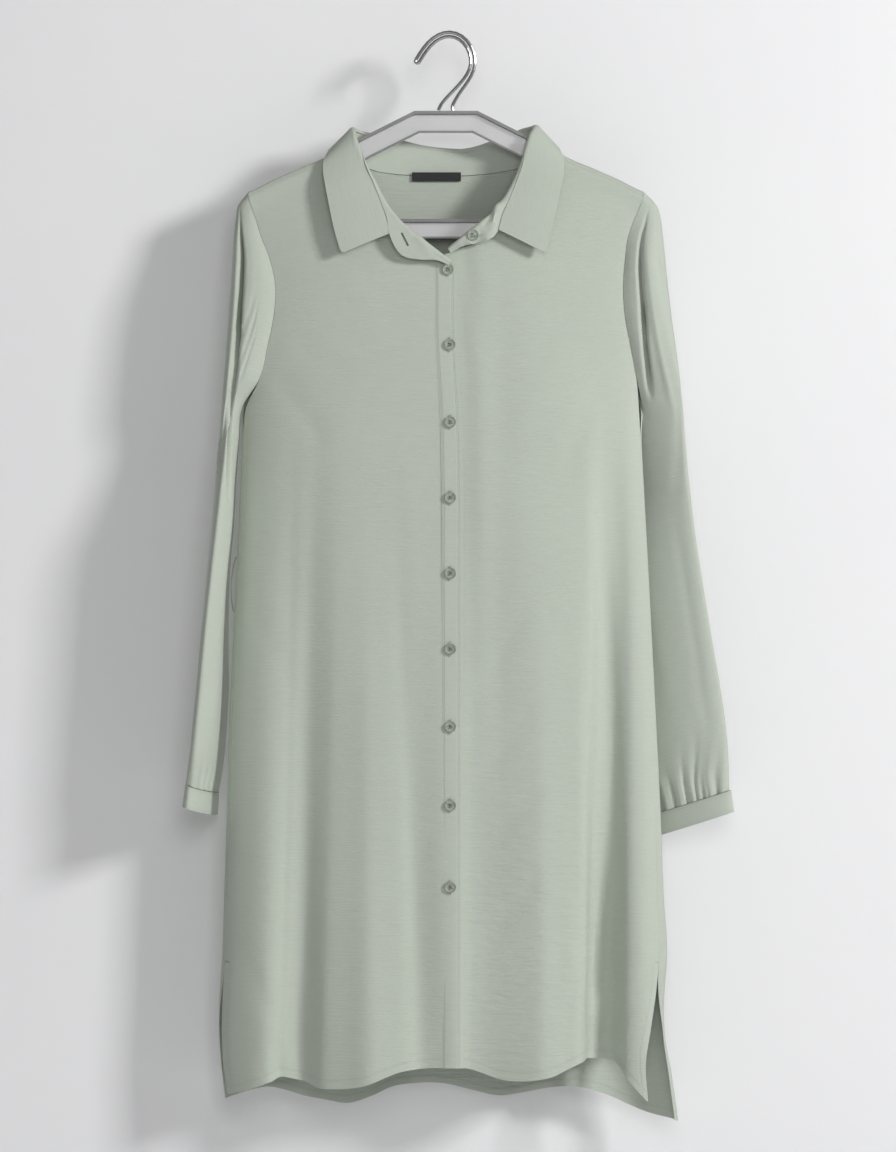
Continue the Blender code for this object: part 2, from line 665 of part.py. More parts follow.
def back_tops():
    """Top edge of the back from the left armhole, over both shoulders and round the neck."""
    start = SHOULDER_SEAM_ANGLE + SEAM_GAP / RIDGE_HALF_WIDTH * 1.6
    left = [Top(top.x, start, None) for top in shoulder_tops(LEFT_TIP_X, LEFT_NECK_X)]
    right = [Top(top.x, start, None) for top in shoulder_tops(RIGHT_TIP_X, RIGHT_NECK_X)]
    neck = [Top(RIGHT_NECK_X, start, None)]
    for row in BACK_STATIONS.rows:
        angle = RIDGE_PLACES.get(row.place)
        neck.append(Top(row.seam_x, angle, None if angle else row.seam_z))
    neck.append(Top(LEFT_NECK_X, start, None))
    return left + neck[::-1] + right[::-1]


BACK_CENTRE_X = -2.0


def back_rows(tops):
    """Grid of the back from the left side to the right side, as seen from behind."""
    half = len(tops) // 2
    even = [(k / half) ** 1.25 for k in range(half + 1)]
    rows = []
    for k, share in enumerate(BACK_WRAP):
        rows.append([wrap_point(top, share, math.pi, back_y, NECK_STEP * k) for top in tops])
    for share in UPPER_SHARES[:-1]:
        side_level = mix(tip_level(), ARMPIT_LEVEL, share)
        hole = ARMHOLE.at(side_level)
        row = []
        for k, top in enumerate(tops):
            place = min(k, len(tops) - 1 - k)
            tip_x, neck_x, edge_x = (
                (LEFT_TIP_X, LEFT_NECK_X, hole.back_left)
                if k <= half
                else (RIGHT_TIP_X, RIGHT_NECK_X, hole.back_right)
            )
            x = upper_x(top, even[place], tip_x, neck_x, BACK_CENTRE_X, edge_x, BACK_CENTRE_X, share)
            level = mix(drop_start(top, len(BACK_WRAP)), ARMPIT_LEVEL, share)
            level = side_level if place == 0 else level
            row.append(Vector((x, back_y(x, level), level)))
        rows.append(row)
    for level in (ARMPIT_LEVEL, *LOWER_LEVELS):
        rows.append(back_level(lambda x, level=level: level, level, half))
    for share in HEM_SHARES:
        guess = mix(SLIT_TOP, HEM_LEVEL, share)
        rows.append(back_level(lambda x, s=share: mix(SLIT_TOP, BACK_HEM.at(x).height, s), guess, half))
    return rows


def back_level(height_at, guess, half):
    """One row of the back from seam to seam: it turns round each outline, then crosses behind."""
    sides = SIDES.at(guess)
    halves = []
    for side, outline, seam in (
        (1, sides.outline_left, sides.seam_left),
        (-1, sides.outline_right, sides.seam_right),
    ):
        seam_y = front_y(seam, guess) + SLIT_GAP * ease((SLIT_TOP - guess) / 60.0)
        points = []
        for place in range(half + 1):
            if place < 3:
                turn = place * math.pi / 4
                x = mix(seam + side * SEAM_GAP, outline, math.sin(turn))
                y = seam_y * math.cos(turn)
            else:
                x = mix(outline, BACK_CENTRE_X, ((place - 2) / (half - 2)) ** 1.45)
                y = back_y(x, height_at(x))
            points.append(Vector((x, y, height_at(x))))
        halves.append(points)
    return halves[0] + halves[1][-2::-1]


def back_rim(tops):
    first_lower = len(BACK_WRAP) + len(UPPER_SHARES)

    def rim(i, j, point, normal):
        if i < len(BACK_WRAP):
            return wrap_normal(tops[j], BACK_WRAP[i], math.pi, back_y, point, 1)
        if j not in (0, len(tops) - 1):
            return normal
        return seam_outward(1 if j == 0 else -1, point.z) if i >= first_lower - 1 else across(normal)

    return rim


def make_back():
    tops = back_tops()
    wall("back_panel", back_rows(tops), CLOTH, (SAGE, 0.85), back_rim(tops))


# Collar


def station_path(row, seam):
    """Points along one section of the collar, with the share of cloth spent at each point."""
    roll = Vector((row.roll_x, row.roll_y, row.roll_z))
    end = Vector((row.end_x, row.end_y, row.end_z))
    bearing = math.radians(row.bearing)
    out = Vector((math.cos(bearing), math.sin(bearing), 0.0))
    rise = (roll - seam).normalized()
    out = (out - rise * out.dot(rise)).normalized()
    turn_start = roll - rise * ROLL_RADIUS
    points, weights = [seam], [1.0]
    for k in range(9):
        angle = math.pi * k / 8
        lean = out * (1 - math.cos(angle)) + rise * math.sin(angle)
        points.append(turn_start + lean * ROLL_RADIUS)
        weights.append(ROLL_WEIGHT if k else 1.0)
    return points + [end], weights + [1.0]


def interpolate(xs, ys, value):
    j = min(max(bisect_right(xs, value) - 1, 0), len(xs) - 2)
    return mix(ys[j], ys[j + 1], (value - xs[j]) / (xs[j + 1] - xs[j]))


def along(points, weights, start, end, count):
    """Points between two lengths along a path, closer together where the weights are high."""
    length, spent = [0.0], [0.0]
    for k in range(1, len(points)):
        step = (points[k] - points[k - 1]).length
        length.append(length[-1] + step)
        spent.append(spent[-1] + step * weights[k])
    low, high = (interpolate(length, spent, value) for value in (start, end))
    result = []
    for k in range(count + 1):
        value = mix(low, high, k / count)
        j = min(max(bisect_right(spent, value) - 1, 0), len(points) - 2)
        share = (value - spent[j]) / (spent[j + 1] - spent[j])
        result.append(points[j].lerp(points[j + 1], min(max(share, 0.0), 1.0)))
    return result


def path_length(points):
    return sum((b - a).length for a, b in zip(points, points[1:]))


def front_sections(table):
    """Sections of one front half of the collar, each seam point on the straight edge between two stations."""
    sections = []
    for place in FRONT_SECTIONS:
        low, high = table.rows[int(place)], table.rows[min(int(place) + 1, len(table.rows) - 1)]
        ends = [
            over_ridge(row.seam_x, SHOULDER_SEAM_ANGLE)
            if row.place == 0
            else Vector((row.seam_x, front_y(row.seam_x, row.seam_z), row.seam_z))
            for row in (low, high)
        ]
        sections.append((table.at(place), ends[0].lerp(ends[1], place - int(place)), place <= LEAF_LAST_STATION))
    return sections


def collar_sections():
    """Each section of the collar with its seam point, from the right front end to the left."""
    sections = front_sections(FRONT_RIGHT_STATIONS)[::-1]
    for row in BACK_STATIONS.rows:
        if row.place in RIDGE_PLACES:
            seam = over_ridge(row.seam_x, RIDGE_PLACES[row.place])
        else:
            seam = Vector((row.seam_x, back_y(row.seam_x, row.seam_z), row.seam_z))
        sections.append((row, seam, True))
    return sections + front_sections(FRONT_LEFT_STATIONS)


STAND_ROWS = 7
LEAF_ROWS = 8
STAND_RISE = 0.5
LEAF_GAP = 0.5


def collar_grids():
    """Sections of the stand and of the leaf, and the outward direction where the two meet."""
    stand, leaf, edges, headings = [], [], [], []
    for row, seam, has_leaf in collar_sections():
        roll = Vector((row.roll_x, row.roll_y, row.roll_z))
        base = seam + (roll - seam).normalized() * STAND_RISE
        points, weights = station_path(row, base)
        total = path_length(points)
        crest = (roll - base).length - ROLL_RADIUS + math.pi * ROLL_RADIUS / 2
        past = row.past
        edge = crest + past if has_leaf else total
        stand.append(along(points, weights, 0.0, edge - (LEAF_GAP if has_leaf else 0.0), STAND_ROWS))
        if has_leaf:
            leaf.append(along(points, weights, edge, total, LEAF_ROWS))
            edges.append(leaf[-1][0])
            headings.append((leaf[-1][0] - stand[-1][-1]).normalized())
    normals = []
    for k, heading in enumerate(headings):
        onward = edges[min(k + 1, len(edges) - 1)] - edges[max(k - 1, 0)]
        normals.append(onward.cross(heading).normalized())
    return stand, leaf, normals


def collar_wall(name, sections, seam_row, normals):
    lead = (len(sections) - len(normals)) // 2

    def rim(i, j, point, normal):
        if i != seam_row or not 0 <= j - lead < len(normals):
            return normal
        shared = normals[j - lead]
        return shared if shared.dot(normal) > 0 else -shared

    wall(name, [list(row) for row in zip(*sections)], COLLAR_CLOTH, (SAGE, 0.85), rim)


def make_collar():
    stand, leaf, normals = collar_grids()
    collar_wall("collar_stand", stand, STAND_ROWS, normals)
    collar_wall("collar_leaf", leaf, 0, normals)
    return stand


# Sleeves


def sleeve_axes(table, side, level):
    """Centre of a sleeve's oval, the direction to its front end and the direction to the body."""
    row = table.at(level)
    yaw = math.radians(row.yaw)
    front_end = Vector((side * math.cos(yaw), -math.sin(yaw), 0.0))
    body_side = Vector((-side * math.sin(yaw), -math.cos(yaw), 0.0))
    reach = math.hypot(row.long * math.cos(yaw), row.short * math.sin(yaw))
    centre = Vector((row.outline - side * reach, row.centre_y, level))
    return row, centre, front_end, body_side


def sleeve_section(table, side, level, turn, outward=0.0):
    """Point round a sleeve: turn 0 faces the body, a quarter is the front end, a half the outside."""
    row, centre, front_end, body_side = sleeve_axes(table, side, level)
    angle = math.tau * turn
    around = front_end * row.long * math.sin(angle) + body_side * row.short * math.cos(angle)
    around += (front_end * math.sin(angle) * row.short + body_side * math.cos(angle) * row.long) \
        .normalized() * outward
    return centre + around + Vector((0.0, 0.0, row.tilt * around.x * side))


def section_turns(table, level, columns, evenness):
    """Turns of the columns round a section: by angle, or at equal lengths of cloth as evenness nears 1."""
    row = table.at(level)
    steps = 240
    outline = [
        Vector((row.long * math.sin(math.tau * k / steps), row.short * math.cos(math.tau * k / steps)))
        for k in range(steps + 1)
    ]
    lengths = [0.0]
    for a, b in zip(outline, outline[1:]):
        lengths.append(lengths[-1] + (b - a).length)
    turns = []
    for k in range(columns + 1):
        share = mix(UNDERARM_GAP, 1 - UNDERARM_GAP, k / columns)
        even = interpolate(lengths, [n / steps for n in range(steps + 1)], share * lengths[-1])
        turns.append(mix(share, even, evenness))
    return turns


def with_valleys(point, centre, valleys, level, turn):
    for valley in valleys:
        run = (valley.start - level) / (valley.start - valley.end)
        if 0 < run < 1:
            across_share = math.exp(-(((turn - valley.place) / valley.reach) ** 2))
            inward = Vector((centre.x - point.x, centre.y - point.y, 0.0)).normalized()
            point = point + inward * valley.depth * math.sin(math.pi * run) * across_share
    return point


def sleeve_row(table, side, valleys, level, columns, share=None):
    """One row of a sleeve from its front edge, round the outside, to its back edge.

    The share tells how far the row is down the gathered part above the cuff.
    """
    centre = sleeve_axes(table, side, level)[1]
    depth = 0.0 if share is None else GATHER_DEPTH * share**1.5
    turns = section_turns(table, level, columns, 0.0 if share is None else ease(share * 1.4))
    row = []
    for k, turn in enumerate(turns):
        wave = -depth + depth * math.cos(math.tau * GATHER_WAVES * k / columns)
        point = sleeve_section(table, side, level, turn, wave)
        row.append(with_valleys(point, centre, valleys, level, turn))
    pull_ends(row, side, level)
    return blend_cap(row, side, level, table.at(level).outline)


def sleeve_ends(side, level):
    """Where a row of the sleeve meets the front and the back of the armhole, or itself under the arm."""
    if level > ARMPIT_LEVEL + 1.0:
        hole = ARMHOLE.at(level)
        front_x = hole.front_left if side > 0 else hole.front_right
        back_x = hole.back_left if side > 0 else hole.back_right
        front = Vector((front_x + side * SEAM_GAP, front_y(front_x, level), level))
        back = Vector((back_x + side * SEAM_GAP, back_y(back_x, level), level))
        return front, back
    sides = SIDES.at(level)
    x = (sides.outline_left if side > 0 else sides.outline_right) + side * UNDERARM_STAND_OFF
    return Vector((x, -2.5, level)), Vector((x, -2.5 + 2 * SEAM_GAP, level))


def pull_ends(row, side, level):
    """Draws the row's ends to the armhole, and below it to the seam under the arm."""
    columns = len(row) - 1
    hold = 1 - ease((ARMPIT_LEVEL - level) / UNDERARM_HOLD)
    front, back = sleeve_ends(side, level)
    front_move, back_move = (front - row[0]) * hold, (back - row[-1]) * hold
    if hold <= 0:
        return
    for k in range(columns + 1):
        near_front = max(1 - k / columns / END_PULL, 0.0) ** 2
        near_back = max(1 - (columns - k) / columns / END_PULL, 0.0) ** 2
        row[k] = row[k] + front_move * near_front + back_move * near_back


def blend_cap(row, side, level, outline):
    """Near the shoulder's tip a row becomes a plain half oval between the two edges of the armhole."""
    share = 1 - ease((tip_level() - level) / CAP_HEIGHT)
    if share <= 0:
        return row
    front, back = sleeve_ends(side, level)
    blended = []
    for k, point in enumerate(row):
        turn = math.pi * k / (len(row) - 1)
        base = front.lerp(back, (1 - math.cos(turn)) / 2)
        base.x = mix(base.x, outline, math.sin(turn))
        blended.append(point.lerp(base, share))
    return blended


def sleeve_rows(table, side, valleys):
    tip_x = (LEFT_TIP_X if side > 0 else RIGHT_TIP_X) + side * SEAM_GAP
    rows = [[over_ridge(tip_x, math.pi * k / SLEEVE_COLUMNS) for k in range(SLEEVE_COLUMNS + 1)]]
    for level in (*upper_levels(), *SLEEVE_LEVELS):
        rows.append(sleeve_row(table, side, valleys, level, SLEEVE_COLUMNS))
    bottom = table.rows[0].level
    for share in GATHER_ROWS:
        level = mix(bottom + GATHER_START, bottom, share)
        rows.append(sleeve_row(table, side, valleys, level, CUFF_COLUMNS, share))
    return rows if side > 0 else [row[::-1] for row in rows]


def in_cuff_plane(table, side, normal):
    """The direction laid into the plane in which the sleeve and its cuff meet."""
    return Vector((normal.x, normal.y, table.rows[0].tilt * side * normal.x)).normalized()


def sleeve_rim(table, side, rows):
    """Ends of the sleeve's wall: as the panels at the armhole, and towards the body under the arm."""

    def rim(i, j, point, normal):
        if i == 0:
            return outward_on_ridge(math.pi * (j if side > 0 else SLEEVE_COLUMNS - j) / SLEEVE_COLUMNS)
        at_cuff = i == len(rows) - 1
        if j in (0, len(rows[i]) - 1):
            turn = ease((tip_level() - point.z) / (tip_level() - ARMPIT_LEVEL) * 2.0 - 1.0)
            panel = Vector((0.0, -1.0 if (j == 0) == (side > 0) else 1.0, 0.0))
            normal = panel.lerp(sleeve_axes(table, side, point.z)[3], turn).normalized()
        return in_cuff_plane(table, side, normal) if at_cuff else normal

    return rim


def cuff_rows(table, side):
    bottom = table.rows[0].level
    turns = section_turns(table, bottom, CUFF_COLUMNS, 1.0)
    rows = []
    for share in (0.0, 1.0):
        drop = CUFF_GAP + CUFF_HEIGHT * share
        row = [sleeve_section(table, side, bottom, turn, CUFF_FLARE * share) for turn in turns]
        rows.append([point + Vector((side * drop * CUFF_LEAN, 0.0, -drop)) for point in row])
    return rows if side > 0 else [row[::-1] for row in rows]


def cuff_rim(table, side):
    body_side = sleeve_axes(table, side, table.rows[0].level)[3]

    def rim(i, j, point, normal):
        return in_cuff_plane(table, side, body_side if j in (0, CUFF_COLUMNS) else normal)

    return rim


def make_sleeves():
    for name, table, side, valleys in (
        ("right", RIGHT_SLEEVE, -1, RIGHT_VALLEYS),
        ("left", LEFT_SLEEVE, 1, LEFT_VALLEYS),
    ):
        rows = sleeve_rows(table, side, valleys)
        wall("sleeve_" + name, rows, CLOTH, (SAGE, 0.85), sleeve_rim(table, side, rows))
        wall("cuff_" + name, cuff_rows(table, side), CLOTH, (SAGE, 0.85), cuff_rim(table, side))


# Buttons


def disc(name, centre, facing, radius, height, finish):
    """A round button with a small rim, its back at the centre point."""
    shape = bmesh.new()
    rotation = facing.to_track_quat("Z", "Y").to_matrix().to_4x4()
    profile = ((0.0, radius - 0.8), (0.5, radius), (height - 0.6, radius), (height, radius - 0.7))
    rings = []
    for z, ring_radius in profile:
        ring = []
        for k in range(BUTTON_SIDES):
            angle = math.tau * k / BUTTON_SIDES
            point = rotation @ Vector((ring_radius * math.cos(angle), ring_radius * math.sin(angle), z))
            ring.append(shape.verts.new((point + centre) * MM))
        rings.append(ring)
    for low, high in zip(rings, rings[1:]):
        for k in range(BUTTON_SIDES):
            shape.faces.new((low[k - 1], low[k], high[k], high[k - 1]))
    shape.faces.new(rings[0][::-1])
    shape.faces.new(rings[-1])
    mesh = bpy.data.meshes.new(name)
    shape.to_mesh(mesh)
    shape.free()
    return add_object(name, mesh, finish)


def make_buttons(stand):
    out = SEAM_GAP * 2 + BAND_CLOTH + 0.35
    for number, height in enumerate(BUTTON_HEIGHTS, start=1):
        centre = Vector((BUTTON_X - 2.4 * ease((height + 330.0) / 100.0), 0.0, height))
        slope = front_y(centre.x, height + 5) - front_y(centre.x, height - 5)
        facing = Vector((0.0, -10.0, slope)).normalized()
        centre.y = front_y(centre.x, height) - out
        disc("button_%d" % number, centre, facing, BUTTON_RADIUS, BUTTON_HEIGHT, (BUTTON_COLOUR, 0.45))
    sections = len(stand)
    column = stand[sections - 4]
    place, ahead, across = column[5], column[6], stand[sections - 3][5]
    facing = (ahead - place).cross(across - place).normalized()
    if facing.y > 0:
        facing = -facing
    disc("collar_button", place + facing * 1.6, facing, BUTTON_RADIUS - 0.5, BUTTON_HEIGHT, (BUTTON_COLOUR, 0.45))


# Label and belt loop


def make_label():
    width, height, thickness = 48.0, 8.8, 0.8
    rows = []
    for level in (-135.6, -135.6 - height):
        row = []
        for k in range(7):
            x = -35.3 + width * k / 6
            row.append(Vector((x, back_y(x, level) - CLOTH - SEAM_GAP - thickness - 0.2, level)))
        rows.append(row)
    wall("neck_label", rows, thickness, (LABEL_COLOUR, 0.7))


def tube(name, points, radius, finish, resolution=2):
    curve = bpy.data.curves.new(name, "CURVE")
    curve.dimensions = "3D"
    curve.bevel_depth = radius * MM
    curve.bevel_resolution = resolution
    curve.use_fill_caps = True
    spline = curve.splines.new("POLY")
    spline.points.add(len(points) - 1)
    for item, point in zip(spline.points, points):
        item.co = (*(point * MM), 1.0)
    obj = bpy.data.objects.new(name, curve)
    bpy.context.scene.collection.objects.link(obj)
    curve.materials.append(material(name, *finish))
    return obj


def make_belt_loop():
    top, bottom, reach, radius = -508.0, -562.0, 3.6, 0.6
    points = []
    for k in range(17):
        share = k / 16
        level = mix(top, bottom, share)
        outline = SIDES.at(level).outline_right
        points.append(Vector((outline - 1.0 - reach * math.sin(math.pi * share) ** 0.8, -1.5, level)))
    tube("belt_loop", points, radius, (SAGE, 0.85), resolution=1)


# Hanger


def channel(name, path, depth, finish):
    """A sheet channel along a path: a web, a deep lip along the path and a small bead at the other edge."""
    profile = (
        (0.0, -LIP_REACH), (0.0, WEB_HALF), (depth, WEB_HALF), (depth, -BEAD_REACH),
        (depth - BEAD_HEIGHT, -BEAD_REACH), (depth - BEAD_HEIGHT, -WEB_HALF),
        (LIP_HEIGHT, -WEB_HALF), (LIP_HEIGHT, -LIP_REACH),
    )
    shape = bmesh.new()
    rings = []
    for k, point in enumerate(path):
        before = (point - path[k - 1]).normalized() if k else (path[1] - path[0]).normalized()
        after = (path[k + 1] - point).normalized() if k < len(path) - 1 else before
        inward = (before + after).normalized()
        inward = Vector((inward.z, 0.0, -inward.x))
        inward /= inward.dot(Vector((before.z, 0.0, -before.x)))
        rings.append([shape.verts.new((point + inward * n + Vector((0.0, y, 0.0))) * MM) for n, y in profile])
    for low, high in zip(rings, rings[1:]):
        for k in range(len(profile)):
            shape.faces.new((low[k - 1], high[k - 1], high[k], low[k]))
    shape.faces.new(rings[0])
    shape.faces.new(rings[-1][::-1])
    bmesh.ops.recalc_face_normals(shape, faces=shape.faces)
    mesh = bpy.data.meshes.new(name)
    shape.to_mesh(mesh)
    shape.free()
    return add_object(name, mesh, finish, smooth=False)


def make_hanger():
    bends = [row.distance for row in ARM.rows[1:3]]
    bends += [mix(bends[-1], ARM_HALF_LENGTH, k / ARM_STEPS) for k in range(1, ARM_STEPS + 1)]
    right_arm = [Vector((HANGER_CENTRE_X - bend, 0.0, ARM.at(bend).height)) for bend in bends]
    left_arm = [Vector((HANGER_CENTRE_X + bend, 0.0, ARM.at(bend).height)) for bend in bends]
    foot = [Vector((HANGER_CENTRE_X + side * ARM_HALF_LENGTH, 0.0, BAR_BOTTOM)) for side in (-1, 1)]
    path = [foot[0]] + right_arm[::-1] + left_arm + [foot[1]]
    channel("hanger_arms", path, ARM_DEPTH, (SILVER, 0.35, 0.6))
    reach = ARM_HALF_LENGTH - ARM_DEPTH - SEAM_GAP
    ends = [Vector((HANGER_CENTRE_X + side * reach, 0.0, BAR_TOP)) for side in (-1, 1)]
    channel("hanger_bar", ends, BAR_TOP - BAR_BOTTOM, (SILVER, 0.35, 0.6))


HOOK = Table(
    "place x z half_gap",
    (0, -29.9, -22.1, WIRE_HALF_GAP),
    (1, -24.0, -12.8, WIRE_HALF_GAP),
    (2, -16.7, -4.2, WIRE_HALF_GAP),
    (3, -7.8, 1.8, WIRE_HALF_GAP),
    (4, 1.0, 3.9, WIRE_HALF_GAP),
    (5, 10.3, 1.6, WIRE_HALF_GAP),
    (6, 18.1, -5.0, WIRE_HALF_GAP),
    (7, 22.8, -13.8, WIRE_HALF_GAP),
    (8, 24.3, -23.5, WIRE_HALF_GAP),
    (9, 22.1, -32.8, 2.2),
    (10, 16.7, -42.1, 2.4),
    (11, 8.8, -51.9, 3.0),
    (12, 1.8, -61.0, 4.4),
    (13, -1.6, -66.4, 5.8),
    (14, -2.5, -70.7, 7.0),
)


def hook_points():
    """The wire from its base up the inside, round the tip and back down the outside."""
    sides = {-1: [], 1: []}
    steps = HOOK_STEPS
    for k in range(steps + 1):
        place = 14 * k / steps
        row = HOOK.at(place)
        near = HOOK.at(min(place + 0.1, 14)), HOOK.at(max(place - 0.1, 0))
        heading = Vector((near[0].x - near[1].x, 0.0, near[0].z - near[1].z)).normalized()
        normal = Vector((-heading.z, 0.0, heading.x)).lerp(Vector((1.0, 0.0, 0.0)), ease((place - 11.0) / 3.0))
        normal.normalize()
        for side in sides:
            sides[side].append(Vector((row.x, 0.0, row.z)) + normal * row.half_gap * side)
    tip = (sides[1][0] + sides[-1][0]) / 2
    back = (sides[1][0] - sides[1][1]).normalized()
    across = (sides[1][0] - tip)
    cap = [tip + across * math.cos(a) + back * WIRE_HALF_GAP * math.sin(a) for a in (math.pi * k / 5 for k in range(1, 5))]
    return sides[1][::-1] + cap + sides[-1]


def make_hook():
    tube("hanger_hook", hook_points(), WIRE_RADIUS, (STEEL, 0.3, 0.9), resolution=2)


def main():
    clear_scene()
    make_hanger()
    make_hook()
    make_fronts()
    make_back()
    stand = make_collar()
    make_sleeves()
    make_buttons(stand)
    make_label()
    make_belt_loop()


main()
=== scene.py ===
"""Long button-through shirt on a metal hanger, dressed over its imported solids.

Tables and shape functions are in millimetres and follow the part's own. The front faces -Y and the
wearer's right side is at -X. Grids are arrays of points: rows run down the cloth and columns across it.
"""

import math
from collections import namedtuple

import bmesh
import bpy
import numpy as np
from bpy.props import FloatProperty, FloatVectorProperty, PointerProperty
from mathutils import Matrix, Vector


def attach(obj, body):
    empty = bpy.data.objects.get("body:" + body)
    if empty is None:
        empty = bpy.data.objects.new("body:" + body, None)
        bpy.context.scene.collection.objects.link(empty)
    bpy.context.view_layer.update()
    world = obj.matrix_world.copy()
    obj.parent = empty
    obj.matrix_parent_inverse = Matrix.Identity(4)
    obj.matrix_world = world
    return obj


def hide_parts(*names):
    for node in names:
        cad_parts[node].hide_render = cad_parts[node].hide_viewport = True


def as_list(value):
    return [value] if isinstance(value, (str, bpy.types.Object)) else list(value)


bl_info = {
    "name": "Long shirt on a hanger",
    "version": (1, 0, 0),
    "blender": (4, 5, 0),
    "location": "View3D > Sidebar > Shirt",
    "description": "Makes the cloth, buttons and finishes of a long shirt on its hanger",
    "category": "Object",
}

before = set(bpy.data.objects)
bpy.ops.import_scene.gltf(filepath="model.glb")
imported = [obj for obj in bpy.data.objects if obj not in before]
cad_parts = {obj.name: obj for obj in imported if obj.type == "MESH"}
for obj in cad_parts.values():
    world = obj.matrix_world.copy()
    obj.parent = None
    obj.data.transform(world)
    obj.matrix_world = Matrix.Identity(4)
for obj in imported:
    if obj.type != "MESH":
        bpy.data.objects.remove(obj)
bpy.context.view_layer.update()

MM = 0.001
SEAM_GAP = 0.3
BAND_CLOTH = 1.0
# Whole garment
HEM_LEVEL = -1045.0
SLIT_TOP = -905.0
ARMPIT_LEVEL = -362.0
RIGHT_TIP_X = -195.0
LEFT_TIP_X = 191.0
RIGHT_NECK_X = -97.0
LEFT_NECK_X = 93.0
SECTION_POWER = 2.6
FOLD_POWER = 1.6
# Cloth over the arms of the hanger
HANGER_CENTRE_X = -2.0
RIDGE_LIFT = 2.6
RIDGE_CENTRE_Y = -2.3
RIDGE_HALF_WIDTH = 7.2
RIDGE_HEIGHT = 3.6
SHOULDER_SEAM_ANGLE = math.radians(35.0)
# The back starts a seam's gap behind the front
BACK_SEAM_ANGLE = SHOULDER_SEAM_ANGLE + SEAM_GAP / RIDGE_HALF_WIDTH * 1.6
DRAPE_LENGTH = 45.0
EDGE_DRAPE_LENGTH = 150.0
# Buttons and placket
PLACKET_FREE_TOP_X = 9.0
PLACKET_FREE_HEM_X = 15.2
PLACKET_TOP = -224.0
PLACKET_EASE = 220.0
PLACKET_WIDTH = 21.5
NECK_SLOPE = 0.43
UNDER_FREE_X = -9.0
UNDER_LAY = 1.7
UNDER_EDGE_X = 16.0
UNDER_EASE = 12.0
UNDER_TOP_DROP = 4.0
BUTTON_RADIUS = 5.5
BUTTON_HEIGHT = 2.2
BUTTON_X = 2.4
BUTTON_HEIGHTS = (-228.3, -301.8, -377.3, -450.8, -524.3, -597.8, -673.3, -749.7, -829.1)


def hermite(a, b, slope_a, slope_b, t):
    """Smooth curve between a and b with the given slopes."""
    return (
        a * (2 * t**3 - 3 * t**2 + 1)
        + b * (3 * t**2 - 2 * t**3)
        + slope_a * (t**3 - 2 * t**2 + t)
        + slope_b * (t**3 - t**2)
    )


def mix(a, b, t):
    return a + (b - a) * t


def ease(t):
    t = np.clip(t, 0.0, 1.0)
    return t * t * (3 - 2 * t)


def point(x, y, z):
    return np.stack(np.broadcast_arrays(x, y, z), axis=-1)


def unit(vectors):
    return vectors / np.maximum(np.linalg.norm(vectors, axis=-1, keepdims=True), 1e-9)


def running(steps, axis=0):
    """Running sums along an axis that start at zero."""
    return np.cumsum(np.insert(steps, 0, 0.0, axis=axis), axis=axis)


def rows_of(kind, *rows):
    return [kind(*row) for row in rows]


class Table:
    """Rows of named columns, read between the rows along a smooth curve."""

    def __init__(self, names, *rows):
        self.Row = namedtuple("Row", names)
        self.rows = rows_of(self.Row, *sorted(rows))
        self.numbers = np.array(self.rows, float)
        low = np.concatenate((self.numbers[:1], self.numbers[:-1]))
        high = np.concatenate((self.numbers[1:], self.numbers[-1:]))
        self.slopes = (high - low) / (high - low)[:, :1]

    def at(self, key):
        """The row at a key. Each of its values is an array where the key is one."""
        keys = self.numbers[:, 0]
        key = np.clip(key, keys[0], keys[-1])
        k = np.clip(np.searchsorted(keys, key, side="right") - 1, 0, len(keys) - 2)
        low, high = self.numbers[k], self.numbers[k + 1]
        span = high[..., :1] - low[..., :1]
        t = (np.expand_dims(key, -1) - low[..., :1]) / span
        values = hermite(low, high, self.slopes[k] * span, self.slopes[k + 1] * span, t)
        return self.Row(*np.moveaxis(values, -1, 0))


# Top edge of the hanger's arms, by the distance from the hanger's centre
ARM = Table(
    "distance height",
    (0, -71.7), (30.9, -71.7), (85.3, -99), (113.7, -117.1), (136.2, -126.9), (168.6, -141.1),
    (186, -149.9), (205, -158),
)
# Depth of the front and back from the hanger's plane
DEPTH = Table(
    "level front back",
    (-1062, 46, 42), (-905, 43, 38), (-650, 39, 32), (-420, 36, 27), (-300, 33, 25), (-220, 28, 23),
    (-150, 19, 20), (-95, 9, 12),
)
# Widths at each level: the outlines and, inside them, the front edges of the side seams
SIDES = Table(
    "level outline_right outline_left seam_right seam_left",
    (-1062, -217.5, 227, -215.6, 194.5), (-1038, -219, 225.1, -215.6, 194.5),
    (-1013, -222, 220.9, -219.5, 193), (-988, -224, 215.4, -221, 193.8), (-952, -224.4, 211, -221, 200.5),
    (-905, -221.5, 214.6, -218.5, 205.8), (-845, -219.5, 211.7, -216.5, 204.6),
    (-747, -216.3, 207.8, -213.3, 201.8), (-649, -213.6, 202.9, -210.6, 198.4),
    (-551, -208.5, 198, -205.5, 194.5), (-424, -202.8, 191.1, -200, 188.6),
    (-362, -200.5, 189.1, -200.3, 188.9), (-300, -203, 196, -202.8, 195.8), (-95, -206, 202, -205.8, 201.8),
)
